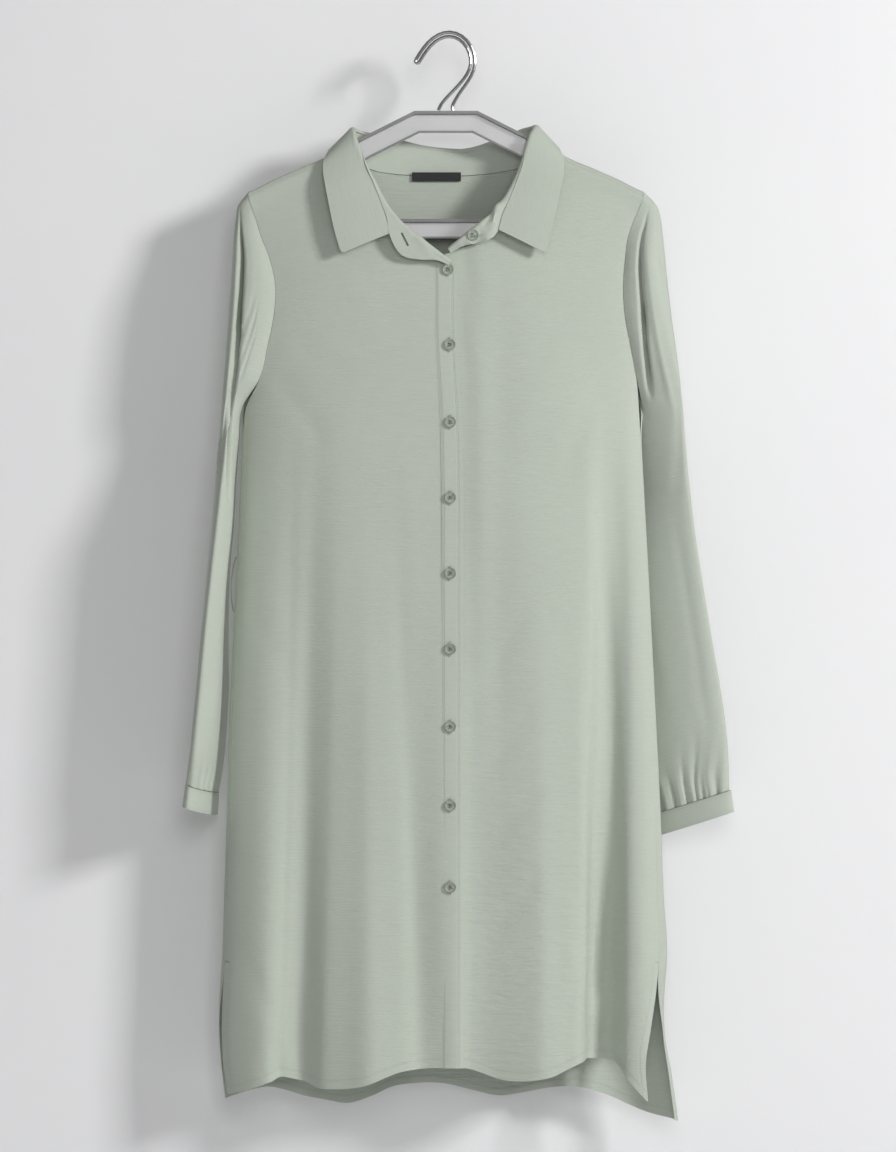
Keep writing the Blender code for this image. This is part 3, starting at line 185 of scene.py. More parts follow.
# Armhole edges of the front and the back
ARMHOLE = Table(
    "level front_right front_left back_right back_left",
    (-362, -197.5, 186.5, -197.5, 186.5), (-340, -186, 185, -191, 183), (-318, -179.5, 181.9, -186.5, 180),
    (-303, -176, 178.1, -184.5, 178.5), (-281, -171, 173.5, -182.5, 177),
    (-251, -168.2, 171, -181.5, 176.5), (-230, -169.9, 171.5, -182.5, 177.5),
    (-209, -176.9, 174, -184.5, 179.5), (-194, -183, 176.4, -187, 182), (-174, -189.1, 183.8, -191, 187),
    (-158, RIGHT_TIP_X, LEFT_TIP_X, RIGHT_TIP_X, LEFT_TIP_X),
)
# Soft folds that hang down the panels. A positive depth is a valley.
Fold = namedtuple("Fold", "top_x hem_x start depth right_reach left_reach growth")
FRONT_FOLDS = rows_of(
    Fold,
    (-128, -147, -330, 19, 10, 42, 1.3), (-176, -178, -450, -4, 20, 20, 1), (-72, -78, -520, -5, 26, 26, 1),
    (-47, -20, -430, 5, 20, 18, 1), (41, 36, -430, 6, 20, 28, 1), (94, 96, -480, -3.5, 26, 26, 1),
    (158, 145, -300, 17, 9, 38, 1.3), (160, 150, -390, 23, 9, 20, 0.9), (196, 193, -400, -6, 14, 10, 1),
)
BACK_FOLDS = rows_of(
    Fold,
    (-150, -146, -360, 12, 26, 26, 1.2), (-95, -97, -420, -6, 26, 26, 1), (-42, -36, -330, 11, 24, 24, 1.2),
    (50, 52, -420, -6, 28, 28, 1), (112, 120, -360, 12, 26, 26, 1.2),
)
# The scene's folds, which deepen those of the solids
FRONT_DEEPENED = rows_of(
    Fold,
    (153, 146, -330, 11.5, 9, 16, 0.9), (180, 177, -330, -6.5, 12, 14, 0.9),
    (-148, -161, -330, 11, 13, 17, 1.1), (-106, -120, -340, -6, 14, 22, 1.1),
    (-84, -74, -420, -3, 22, 12, 1), (-50, -24, -430, 5, 9, 20, 1), (24, 20, -430, 4, 6, 34, 1),
    (86, 92, -460, -3, 22, 18, 1),
)
BACK_DEEPENED = rows_of(
    Fold,
    (-150, -146, -360, 6, 12, 26, 1), (-42, -36, -330, 5, 22, 10, 1), (112, 120, -360, 6, 12, 26, 1),
)
# Hems
FRONT_HEM = Table(
    "x height",
    (-216, -1034), (-198, -1029), (-168, -1018), (-151, -1016), (-126, -1025), (-85, -1023), (-45, -1008.5),
    (15, -1005), (56, -1017), (98, -1014), (133, -1000), (166, -1005), (189, -1033), (196, -1041),
)
BACK_HEM = Table(
    "x height",
    (-219, -1039), (-175, -1030), (-136, -1040), (-92, -1048), (-61, -1033), (-35, -1027), (0, -1029),
    (50, -1041), (86, -1035), (119, -1029), (153, -1037), (194, -1054), (227, -1061),
)
# The collar. Each station gives the neck seam, the roll and the free end of one section. The path past the
# roll tells where the stand ends and the leaf starts.
STATION = "place seam_x seam_z roll_x roll_y roll_z past end_x end_y end_z bearing"
FRONT_RIGHT_STATIONS = Table(
    STATION,
    (0, -97, -101, -90.2, -3, -89.2, -4, -118, -6, -111.4, 180),
    (1, -95.5, -113, -88.2, -12.5, -101, -2, -118.6, -16, -116.6, 215),
    (2, -94.5, -128, -79.4, -17.5, -124.5, 2, -119, -22, -129.4, 245),
    (3, -90, -147, -69.6, -22, -144, 3.5, -116.6, -28, -145, 260),
    (4, -79, -167, -58.8, -26, -164.6, 6, -112.7, -32, -165.6, 265),
    (5, -66, -183.5, -49, -28.5, -177.4, 11, -107.8, -36, -188.2, 270),
    (6, -54, -195, -40.2, -30, -186.2, 19, -101, -39, -212.2, 270),
    (7, -37.2, -205.8, -25.5, -31.5, -198, 25, -45, -35.5, -215, 270),
    (8, -22, -213, -12.7, -32, -207.8, 17, -25.5, -35.5, -219.5, 270),
    (9, -9, -218.6, -2.9, -32, -215.2, 9, -10.8, -35.5, -220, 270),
    (10, 1.5, -223.2, 3.9, -31.5, -219.5, 4, 0.7, -33.8, -224.4, 270),
)
FRONT_LEFT_STATIONS = Table(
    STATION,
    (0, 93, -101, 83.3, -3, -87.6, -4, 109.8, -6, -109.4, 0),
    (1, 91.5, -113, 77.4, -12.5, -100, -2, 111.2, -16, -116.6, -35),
    (2, 90, -128, 71.5, -17.5, -121.5, 2, 110.3, -22, -131.3, -65),
    (3, 85, -147, 63.7, -22, -141, 3.5, 106.8, -28, -149, -80),
    (4, 75, -167.5, 53.9, -26, -158.8, 6, 102.9, -32, -167.6, -85),
    (5, 62, -181.5, 43, -28.5, -171.5, 11, 98.5, -36, -188.2, -90),
    (6, 46, -190.5, 32.3, -30, -181.3, 19, 92.6, -39, -211.7, -90),
    (7, 29, -199.5, 18.6, -31, -192, 21, 38, -35, -201, -90),
    (8, 17, -205.5, 9.5, -31, -199.5, 16, 23, -34.5, -204, -90),
    (9, 8, -209, 3, -30, -204.5, 10, 10.5, -33.5, -208.2, -90),
    (10, 2, -211.5, -0.5, -29, -207.5, 5, 2.8, -32, -212.4, -90),
)
BACK_STATIONS = Table(
    STATION,
    (1, -95.5, -99, -90, 0.5, -89, -4, -117, 0, -109, 170),
    (2, -94, -102, -89.3, 4, -89, -4, -115, 8, -109, 158),
    (3, -92, -113, -87, 8.5, -89.5, -4, -110, 18, -113, 145),
    (4, -85.5, -123, -79.5, 15, -91.5, -5, -97, 27, -125, 120),
    (5, -73, -129, -66, 20, -95.5, -6, -76, 33, -137, 100),
    (6, -52, -132.5, -46, 24, -101, -6, -50, 35, -143.5, 94),
    (7, -27, -134, -24, 26, -105.5, -6, -26, 36.5, -147, 90),
    (8, -2, -134.3, 0, 27, -107, -6, -2, 37, -148, 90),
    (9, 23, -133.6, 24, 26, -106, -6, 24, 36.5, -146.5, 90),
    (10, 48, -131, 44, 24, -101, -6, 47, 35, -142.5, 86),
    (11, 69, -127, 61, 20, -95.5, -6, 71, 33, -135, 80),
    (12, 81.5, -121.5, 73.5, 15, -90.5, -5, 90, 27, -123, 60),
    (13, 88, -112, 80.5, 8.5, -88, -4, 102, 18, -112, 35),
    (14, 90, -102, 82.5, 4, -87.3, -4, 107, 8, -108, 22),
    (15, 91.5, -99, 83, 0.5, -87.3, -4, 109, 0, -107.5, 10),
)
RIDGE_PLACES = dict(zip((1, 2, 14, 15), np.radians((90.0, 165.0, 165.0, 90.0))))
FRONT_SECTIONS = (0, 1, 1.25, 1.5, 1.75, 2, 3, 4, 5, 6, 7, 8, 9, 10)
LEAF_LAST_STATION = 6
ROLL_RADIUS = 2.4
ROLL_POINTS = 9
ROLL_WEIGHTS = (1.0,) + (3.0,) * (ROLL_POINTS - 1) + (1.0,)
STAND_ROWS = 7
LEAF_ROWS = 8
STAND_RISE = 0.5
LEAF_GAP = 0.5
# Sleeves: each section is an oval, its long axis turned by yaw from +X towards the front
SLEEVE = "level outline centre_y long short yaw tilt"
RIGHT_SLEEVE = Table(
    SLEEVE,
    (-735, -256, 8, 48, 10.5, 77, 0.37), (-707, -252.8, 8, 52, 11.5, 78, 0.25),
    (-639, -246, 8, 54, 11, 80, 0), (-551, -238.1, 8, 55, 9.4, 85, 0), (-482, -231.3, 7, 56, 9.6, 87, 0),
    (-413, -225.9, 6, 54, 9.2, 88, 0), (-362, -221.5, 4, 49, 8.4, 89, 0), (-320, -218.8, 2, 43, 11, 90, 0),
    (-270, -215.3, 0, 36, 14, 90, 0), (-217.6, -211.7, -1, 27, 14, 90, 0),
    (-190, -209.8, -1.5, 20, 12, 90, 0), (-168, -206.5, -2, 13, 9, 90, 0),
    (-158, -204.5, -2.3, 9.5, 7, 90, 0),
)
LEFT_SLEEVE = Table(
    SLEEVE,
    (-751, 277.5, 18, 48, 10.5, 24, 0.34), (-709, 275, 21, 53, 12, 24, 0.28),
    (-617, 264.6, 26, 55, 11, 24, 0), (-538, 251.4, 30, 56, 11, 26, 0), (-472, 241, 32, 56, 11, 32, 0),
    (-425, 235.4, 30, 54, 12, 41, 0), (-385, 231.5, 23, 50, 12, 54, 0), (-355, 228.8, 14, 47, 12, 69, 0),
    (-320, 224.8, 6, 43, 14, 80, 0), (-260, 217.5, 1, 34, 15, 86, 0), (-204, 211.7, -1, 24, 14, 90, 0),
    (-173.5, 207.8, -2, 15, 10, 90, 0), (-158, 202, -2.3, 9.5, 7, 90, 0),
)
SLEEVE_LEVELS = (-392.0, -430.0, -475.0, -530.0, -590.0, -640.0)
GATHER_START = 60.0
GATHER_ROWS = (0.0, 0.4, 0.7, 0.9, 1.0)
GATHER_DEPTH = 1.0
GATHER_GROWTH = 1.5
GATHER_HASTE = 1.4
GATHER_WAVES = 14
SLEEVE_COLUMNS = 56
SECTION_STEPS = 240
CUFF_HEIGHT = 21.5
CUFF_GAP = 0.5
CUFF_LEAN = 0.1
CUFF_FLARE = 0.8
END_PULL = 0.28
UNDERARM_GAP = 0.0012
UNDERARM_HOLD = 55.0
UNDERARM_STAND_OFF = 0.8
UNDERARM_Y = -2.5
CAP_HEIGHT = 70.0
# The long valley of each sleeve: its place is in turns from the body side, through the front end
Valley = namedtuple("Valley", "place start end depth reach")
RIGHT_VALLEY = Valley(0.30, -185.0, -470.0, 8.0, 0.055)
LEFT_VALLEY = Valley(0.33, -165.0, -300.0, 5.0, 0.06)
# Rows and columns of the panels
FRONT_WRAP = (0.0, 0.15, 1.0)
BACK_WRAP = (0.0, 0.05, 0.35, 0.68, 1.0)
NECK_STEP = 1.2
UPPER_SHARES = (0.05, 0.11, 0.19, 0.30, 0.43, 0.57, 0.72, 0.87, 1.0)
LOWER_LEVELS = (-392.0, -440.0, -520.0, -600.0, -680.0, -760.0, -840.0, SLIT_TOP)
HEM_SHARES = (0.22, 0.46, 0.72, 1.0)
SHOULDER_SHARES = (0.0, 0.05, 0.12, 0.25, 0.5, 0.75, 1.0)
SIDE_SHARES = (0.0, 0.012, 0.035, 0.075)
SLIT_GAP = 3.0
SLIT_EASE = 60.0
FRONT_HEM_LEVEL = HEM_LEVEL + 5.0
# How fast columns reach their even places, and how they crowd towards the sides
COLUMN_HASTE = 1.2
FRONT_CROWDING = 1.05
BACK_CROWDING = 1.25
BACK_LOWER_CROWDING = 1.45
BACK_CENTRE_X = -2.0


def ridge(x):
    """Height of the cloth where it lies over the hanger."""
    return ARM.at(abs(x - HANGER_CENTRE_X)).height + RIDGE_LIFT


TIP_LEVEL = ridge(RIGHT_TIP_X) - RIDGE_HEIGHT


def fold_offset(folds, x, level):
    """Depth of all the folds at one place, positive into the garment."""
    total = 0.0
    for fold in folds:
        run = np.clip((fold.start - level) / (fold.start - HEM_LEVEL), 0.0, 1.0)
        centre = mix(fold.top_x, fold.hem_x, run)
        reach = np.where(x < centre, fold.right_reach, fold.left_reach)
        beside = np.exp(-(abs((x - centre) / reach) ** FOLD_POWER))
        total = total + fold.depth * run**fold.growth * beside
    return total


def draped(x, level, full_depth, edge_depth):
    """Depth that leaves the hanger's edge and eases out to the garment's own section."""
    drop = np.maximum(ridge(x) - RIDGE_HEIGHT - level, 0.0)
    sides = SIDES.at(level)
    ratio = np.minimum(abs(x) / np.where(x > 0, sides.outline_left, -sides.outline_right), 1.0)
    section = full_depth * np.sqrt(1 - ratio**SECTION_POWER)
    outward = edge_depth + (section - edge_depth) * (1 - np.exp(-drop / DRAPE_LENGTH))
    inward = mix(edge_depth, section, ease(drop / EDGE_DRAPE_LENGTH))
    return np.where(section > edge_depth, outward, inward)


def front_y(x, level):
    edge = RIDGE_HALF_WIDTH - RIDGE_CENTRE_Y
    return fold_offset(FRONT_FOLDS, x, level) - draped(x, level, DEPTH.at(level).front, edge)


def back_y(x, level):
    edge = RIDGE_HALF_WIDTH + RIDGE_CENTRE_Y
    return draped(x, level, DEPTH.at(level).back, edge) - fold_offset(BACK_FOLDS, x, level)


def on_front(x, level):
    return point(x, front_y(x, level), level)


def on_back(x, level):
    return point(x, back_y(x, level), level)


def over_ridge(x, angle):
    """Point on the rounded cloth over the hanger: 0 is its front edge and half a turn its back edge."""
    y = RIDGE_CENTRE_Y - RIDGE_HALF_WIDTH * np.cos(angle)
    return point(x, y, ridge(x) - RIDGE_HEIGHT * (1 - np.sin(angle)))


# The top of a panel's column: x, its angle on the ridge, or 0 and its level at the neck seam


def first_rows(tops, wrap, last_angle, surface):
    """First rows of a panel, over the ridge or closely below the neck seam, and each column's level there."""
    x, angle, level = tops.T
    rows = []
    for k, share in enumerate(wrap):
        below = surface(x, level - NECK_STEP * k)
        rows.append(np.where(angle[:, None] > 0, over_ridge(x, mix(angle, last_angle, share)), below))
    return rows, np.where(angle > 0, ridge(x) - RIDGE_HEIGHT, level - NECK_STEP * (len(wrap) - 1))


def upper_rows(tops, start, even, tip_x, neck_x, end_x, hole_column, free_at, surface):
    """Rows beside the armholes. Each column moves from below its top to its even place at the armpit."""
    x = tops[:, 0]
    for share in UPPER_SHARES:
        side_level = mix(TIP_LEVEL, ARMPIT_LEVEL, share)
        edge_x, free_x = hole_column(ARMHOLE.at(side_level)), free_at(side_level)
        from_tip = mix(edge_x, neck_x, (x - tip_x) / (neck_x - tip_x))
        from_neck = mix(neck_x, free_x, (x - neck_x) / (end_x - neck_x))
        below = np.where(abs(x - tip_x) < abs(neck_x - tip_x), from_tip, from_neck)
        level = np.where(even == 0, side_level, mix(start, ARMPIT_LEVEL, share))
        yield surface(mix(below, mix(edge_x, free_x, even), ease(share * COLUMN_HASTE)), level)


def front_rows(tops, side, free_at):
    """Grid of a front from its armhole side to its free edge."""
    hand, neck_x = ("left", LEFT_NECK_X) if side > 0 else ("right", RIGHT_NECK_X)
    rest = len(tops) - len(SIDE_SHARES)
    even = mix(SIDE_SHARES[-1], 1.0, (np.arange(1, rest + 1) / rest) ** FRONT_CROWDING)
    even = np.concatenate((SIDE_SHARES, even))
    rows, start = first_rows(tops, FRONT_WRAP, 0.0, on_front)
    rows += upper_rows(tops, start, even, tops[0, 0], neck_x, tops[-1, 0],
                       lambda hole: getattr(hole, "front_" + hand), free_at, on_front)
    places = [(level, 0.0) for level in LOWER_LEVELS]
    places += [(mix(SLIT_TOP, FRONT_HEM_LEVEL, share), share) for share in HEM_SHARES]
    for level, share in places:
        x = mix(getattr(SIDES.at(level), "seam_" + hand), free_at(level), even)
        rows.append(on_front(x, mix(SLIT_TOP, FRONT_HEM.at(x).height, share) if share else level))
    return np.array(rows)


def shoulder_tops(tip_x, neck_x, angle):
    return [(mix(tip_x, neck_x, share), angle, 0.0) for share in SHOULDER_SHARES]


def right_front_grid():
    """The over front. Its last three columns are the placket's edge, its middle and the free edge."""
    stations = FRONT_RIGHT_STATIONS.rows
    tops = shoulder_tops(RIGHT_TIP_X, RIGHT_NECK_X, SHOULDER_SEAM_ANGLE)
    tops += [(row.seam_x, 0.0, row.seam_z) for row in stations[1:9]]
    for share in (1.0, 0.5, 0.0):
        x = PLACKET_FREE_TOP_X - PLACKET_WIDTH * share
        tops.append((x, 0.0, stations[-1].seam_z + (stations[-1].seam_x - x) * NECK_SLOPE))
    grid = front_rows(
        np.array(tops), -1,
        lambda level: mix(PLACKET_FREE_TOP_X, PLACKET_FREE_HEM_X, ease((PLACKET_TOP - level) / PLACKET_EASE)))
    for column, share in ((-3, 1.0), (-2, 0.5)):
        level = grid[:, -3, 2] if share == 1 else (grid[:, -3, 2] + grid[:, -1, 2]) / 2
        grid[:, column] = on_front(grid[:, -1, 0] - PLACKET_WIDTH * share, level)
    return grid


def left_front_grid():
    """The under front, which steps back where the placket covers it."""
    stations = FRONT_LEFT_STATIONS.rows
    tops = shoulder_tops(LEFT_TIP_X, LEFT_NECK_X, SHOULDER_SEAM_ANGLE)
    tops += [(row.seam_x, 0.0, row.seam_z) for row in stations[1:]]
    tops.append((UNDER_FREE_X, 0.0, stations[-1].seam_z - UNDER_TOP_DROP))
    grid = front_rows(np.array(tops), 1, lambda level: UNDER_FREE_X)
    grid[:, :, 1] += UNDER_LAY * (1 - ease((grid[:, :, 0] - UNDER_EDGE_X) / UNDER_EASE))
    return grid[:, ::-1]


def back_grid():
    """The back from the left side to the right side, as seen from behind."""
    neck = [(row.seam_x, RIDGE_PLACES.get(row.place, 0.0), row.seam_z) for row in BACK_STATIONS.rows]
    tops = np.array(shoulder_tops(LEFT_TIP_X, LEFT_NECK_X, BACK_SEAM_ANGLE) + neck[::-1]
                    + shoulder_tops(RIGHT_TIP_X, RIGHT_NECK_X, BACK_SEAM_ANGLE)[::-1])
    half = len(tops) // 2
    columns = np.arange(len(tops))
    on_left = columns <= half
    rows, start = first_rows(tops, BACK_WRAP, math.pi, on_back)
    rows += list(upper_rows(
        tops, start, (np.minimum(columns, columns[::-1]) / half) ** BACK_CROWDING,
        np.where(on_left, LEFT_TIP_X, RIGHT_TIP_X), np.where(on_left, LEFT_NECK_X, RIGHT_NECK_X),
        BACK_CENTRE_X, lambda hole: np.where(on_left, hole.back_left, hole.back_right),
        lambda level: BACK_CENTRE_X, on_back))[:-1]
    for level in (ARMPIT_LEVEL, *LOWER_LEVELS):
        rows.append(back_level(level, 0.0, half))
    for share in HEM_SHARES:
        rows.append(back_level(mix(SLIT_TOP, HEM_LEVEL, share), share, half))
    return np.array(rows)


def back_level(guess, share, half):
    """One row of the back from seam to seam: it turns round each outline, then crosses behind."""
    sides = SIDES.at(guess)
    places = np.arange(half + 1)
    turn = np.minimum(places, 2) * math.pi / 4
    across = (np.maximum(places - 2, 0) / (half - 2)) ** BACK_LOWER_CROWDING
    halves = []
    for side, outline, seam in (
        (1, sides.outline_left, sides.seam_left),
        (-1, sides.outline_right, sides.seam_right),
    ):
        seam_y = front_y(seam, guess) + SLIT_GAP * ease((SLIT_TOP - guess) / SLIT_EASE)
        x = mix(mix(seam + side * SEAM_GAP, outline, np.sin(turn)), BACK_CENTRE_X, across)
        level = mix(SLIT_TOP, BACK_HEM.at(x).height, share) if share else guess
        halves.append(point(x, np.where(places < 3, seam_y * np.cos(turn), back_y(x, level)), level))
    return np.concatenate((halves[0], halves[1][-2::-1]))


def front_sections(table):
    """Sections of one front half of the collar, each seam point on the straight edge between two stations."""
    seams = [on_front(row.seam_x, row.seam_z) for row in (*table.rows, table.rows[-1])]
    seams[0] = over_ridge(table.rows[0].seam_x, SHOULDER_SEAM_ANGLE)
    for place in FRONT_SECTIONS:
        k = int(place)
        yield table.at(place), mix(seams[k], seams[k + 1], place - k), place <= LEAF_LAST_STATION


def collar_sections():
    """Each section of the collar with its seam point, from the right front end to the left."""
    sections = list(front_sections(FRONT_RIGHT_STATIONS))[::-1]
    for row in BACK_STATIONS.rows:
        angle = RIDGE_PLACES.get(row.place)
        seam = over_ridge(row.seam_x, angle) if angle else on_back(row.seam_x, row.seam_z)
        sections.append((row, seam, True))
    return sections + list(front_sections(FRONT_LEFT_STATIONS))


def collar_grids():
    """Grids of the stand and of the leaf. Their points lie closer together round the roll."""
    stand, leaf = [], []
    for row, seam, has_leaf in collar_sections():
        roll = point(row.roll_x, row.roll_y, row.roll_z)
        rise = unit(roll - seam)
        base = seam + rise * STAND_RISE
        bearing = math.radians(row.bearing)
        out = point(math.cos(bearing), math.sin(bearing), 0.0)
        out = unit(out - rise * (out @ rise))
        turn = np.linspace(0.0, math.pi, ROLL_POINTS)[:, None]
        bend = roll + (out * (1 - np.cos(turn)) + rise * (np.sin(turn) - 1)) * ROLL_RADIUS
        path = np.concatenate(([base], bend, [point(row.end_x, row.end_y, row.end_z)]))
        steps = np.linalg.norm(np.diff(path, axis=0), axis=1)
        length, spent = running(steps), running(steps * ROLL_WEIGHTS)

        def along(start, end, count):
            values = np.linspace(*np.interp((start, end), length, spent), count + 1)
            return np.stack([np.interp(values, spent, column) for column in path.T], axis=-1)

        crest = np.linalg.norm(roll - base) - ROLL_RADIUS + math.pi * ROLL_RADIUS / 2
        edge = crest + row.past if has_leaf else length[-1]
        stand.append(along(0.0, edge - (LEAF_GAP if has_leaf else 0.0), STAND_ROWS))
        if has_leaf:
            leaf.append(along(edge, length[-1], LEAF_ROWS))
    return np.array(stand).transpose(1, 0, 2), np.array(leaf).transpose(1, 0, 2)


def sleeve_section(table, side, level, turns, outward=0.0):
    """Centre of a sleeve's oval and points round it: turn 0 faces the body and a quarter is the front end."""
    row = table.at(level)
    yaw = math.radians(row.yaw)
    front_end = np.array((side * math.cos(yaw), -math.sin(yaw), 0.0))
    body_side = np.array((-side * math.sin(yaw), -math.cos(yaw), 0.0))
    reach = math.hypot(row.long * math.cos(yaw), row.short * math.sin(yaw))
    centre = np.array((row.outline - side * reach, row.centre_y, level))
    ahead = front_end * np.sin(math.tau * turns)[:, None]
    inward = body_side * np.cos(math.tau * turns)[:, None]
    around = ahead * row.long + inward * row.short
    around += unit(ahead * row.short + inward * row.long) * np.reshape(outward, (-1, 1))
    around[:, 2] += row.tilt * around[:, 0] * side
    return centre, centre + around


def section_turns(table, level, evenness):
    """Turns of the columns round a section: by angle, or at equal lengths of cloth as evenness nears 1."""
    row = table.at(level)
    turns = np.linspace(0.0, 1.0, SECTION_STEPS + 1)
    outline = np.stack((row.long * np.sin(math.tau * turns), row.short * np.cos(math.tau * turns)), axis=-1)
    lengths = running(np.linalg.norm(np.diff(outline, axis=0), axis=1))
    share = np.linspace(UNDERARM_GAP, 1 - UNDERARM_GAP, SLEEVE_COLUMNS + 1)
    return mix(share, np.interp(share * lengths[-1], lengths, turns), evenness)


def sleeve_row(table, side, valley, level, share=0.0):
    """One row of a sleeve from its front edge, round the outside, to its back edge.

    The share tells how far the row is down the gathered part above the cuff.
    """
    turns = section_turns(table, level, ease(share * GATHER_HASTE))
    across = np.arange(SLEEVE_COLUMNS + 1) / SLEEVE_COLUMNS
    wave = GATHER_DEPTH * share**GATHER_GROWTH * (np.cos(math.tau * GATHER_WAVES * across) - 1)
    centre, row = sleeve_section(table, side, level, turns, wave)
    run = np.clip((valley.start - level) / (valley.start - valley.end), 0.0, 1.0)
    beside = np.exp(-(((turns - valley.place) / valley.reach) ** 2))[:, None]
    row = row + unit((centre - row) * (1, 1, 0)) * beside * valley.depth * math.sin(math.pi * run)
    # The ends are drawn to the armhole, and below it to the seam under the arm
    hold = 1 - ease((ARMPIT_LEVEL - level) / UNDERARM_HOLD)
    front, back = sleeve_ends(side, level)
    near_front, near_back = (np.maximum(1 - place / END_PULL, 0.0)[:, None] ** 2
                             for place in (across, 1 - across))
    row = row + ((front - row[0]) * near_front + (back - row[-1]) * near_back) * hold
    # Near the shoulder's tip it becomes a plain half oval between the two edges of the armhole
    base = mix(front, back, (1 - np.cos(math.pi * across))[:, None] / 2)
    base[:, 0] = mix(base[:, 0], table.at(level).outline, np.sin(math.pi * across))
    return mix(row, base, 1 - ease((TIP_LEVEL - level) / CAP_HEIGHT))


def sleeve_ends(side, level):
    """Where a row of the sleeve meets the front and the back of the armhole, or itself under the arm."""
    if level > ARMPIT_LEVEL + 1.0:
        hole = ARMHOLE.at(level)
        front_x = hole.front_left if side > 0 else hole.front_right
        back_x = hole.back_left if side > 0 else hole.back_right
        gap = (side * SEAM_GAP, 0.0, 0.0)
        return on_front(front_x, level) + gap, on_back(back_x, level) + gap
    sides = SIDES.at(level)
    x = (sides.outline_left if side > 0 else sides.outline_right) + side * UNDERARM_STAND_OFF
    return point(x, UNDERARM_Y, level), point(x, UNDERARM_Y + 2 * SEAM_GAP, level)


def sleeve_grid(table, side, valley):
    tip_x = (LEFT_TIP_X if side > 0 else RIGHT_TIP_X) + side * SEAM_GAP
    rows = [over_ridge(tip_x, np.linspace(0.0, math.pi, SLEEVE_COLUMNS + 1))]
    for level in (*(mix(TIP_LEVEL, ARMPIT_LEVEL, share) for share in UPPER_SHARES), *SLEEVE_LEVELS):
        rows.append(sleeve_row(table, side, valley, level))
    bottom = table.rows[0].level
    for share in GATHER_ROWS:
        rows.append(sleeve_row(table, side, valley, mix(bottom + GATHER_START, bottom, share), share))
    return np.array(rows)[:, ::side]


def cuff_grid(table, side):
    bottom = table.rows[0].level
    turns = section_turns(table, bottom, 1.0)
    rows = []
    for share in (0.0, 1.0):
        drop = CUFF_GAP + CUFF_HEIGHT * share
        section = sleeve_section(table, side, bottom, turns, CUFF_FLARE * share)[1]
        rows.append(section + (side * drop * CUFF_LEAN, 0.0, -drop))
    return np.array(rows)[:, ::side]


# Cloth grids: rows of points made finer along smooth curves

ROW_STEP = 6.0
COLUMN_STEP = 4.0
LEAST_GAP = 0.05
SHARP_ANGLE = math.radians(55.0)
VISIBLE_CLOTH = 0.55
NO_LINE = 0.1


def finer(grid, step):
    """The grid with its rows joined by smooth curves, at about the given step."""
    gaps = np.linalg.norm(np.diff(grid, axis=0), axis=2).mean(axis=1)
    gaps = np.maximum(gaps, LEAST_GAP)[:, None, None]
    secants = np.diff(grid, axis=0) / gaps
    slopes = np.concatenate((secants[:1], secants))
    slopes[1:-1] = (gaps[1:] * secants[:-1] + gaps[:-1] * secants[1:]) / (gaps[1:] + gaps[:-1])
    rows = [grid[:1]]
    for k, gap in enumerate(gaps):
        t = np.linspace(0.0, 1.0, max(1, round(gap.item() / step)) + 1)[1:, None, None]
        rows.append(hermite(grid[k], grid[k + 1], slopes[k] * gap, slopes[k + 1] * gap, t))
    return np.concatenate(rows)


def fine_grid(grid, row_step=ROW_STEP, column_step=COLUMN_STEP):
    return finer(finer(grid, row_step).transpose(1, 0, 2), column_step).transpose(1, 0, 2)


def normals_of(grid):
    """Outward unit normals of a grid whose rows run down and whose columns run to the right."""
    return unit(np.cross(np.gradient(grid, axis=0), np.gradient(grid, axis=1)))


def across_lengths(grid):
    """Running length of each row from its first column, in metres."""
    return running(np.linalg.norm(np.diff(grid, axis=1), axis=2), 1) * MM


def down_lengths(grid):
    """Running length of each column from its first row, in metres."""
    return across_lengths(grid.transpose(1, 0, 2)).T


def rise_from(values, start, span):
    """A share that grows evenly from 0 at a start to 1 a span further on."""
    return np.clip((values - start) / span, 0.0, 1.0)


def inside_edges(grid, width):
    """A share of 0 at the first and last columns, and 1 from a number of columns inside them."""
    columns = np.arange(grid.shape[1])
    return rise_from(np.minimum(columns, columns[::-1]), 0, width)[None, :]


# Creases pressed into the cloth: a line between two places, with a depth below it and a reach beside it
Crease = namedtuple("Crease", "start_a start_b end_a end_b depth reach")
FADE_RATE = 3.0
FADE_START = 0.4


def crease_depth(creases, a, b):
    """Depth of all creases at places a, b of the cloth, fading towards the ends of each line."""
    total = 0.0
    for crease in creases:
        line_a, line_b = crease.end_a - crease.start_a, crease.end_b - crease.start_b
        length = math.hypot(line_a, line_b)
        run = ((a - crease.start_a) * line_a + (b - crease.start_b) * line_b) / length**2
        side = ((a - crease.start_a) * line_b - (b - crease.start_b) * line_a) / length
        fade = ease(np.minimum(run, 1 - run) * FADE_RATE + FADE_START)
        total += crease.depth * fade * np.exp(-((side / crease.reach) ** 2))
    return total


def pressed(grid, depth):
    """The grid moved inwards by a depth at each point."""
    return grid - normals_of(grid) * depth[:, :, None]


def ripple(a, b, seed):
    """A soft uneven surface, the sum of a few waves that run mostly down the cloth."""
    total = 0.0
    for k in range(5):
        turn = 0.25 * math.sin(2.1 * k + seed)
        across = (a * math.cos(turn) + b * math.sin(turn)) / (34.0 - 4.6 * k)
        down = b / (150.0 - 19.0 * k)
        total += np.sin(across + 1.7 * k * k + seed) * np.sin(down + k + 2 * seed) * (0.36 - 0.045 * k)
    return total


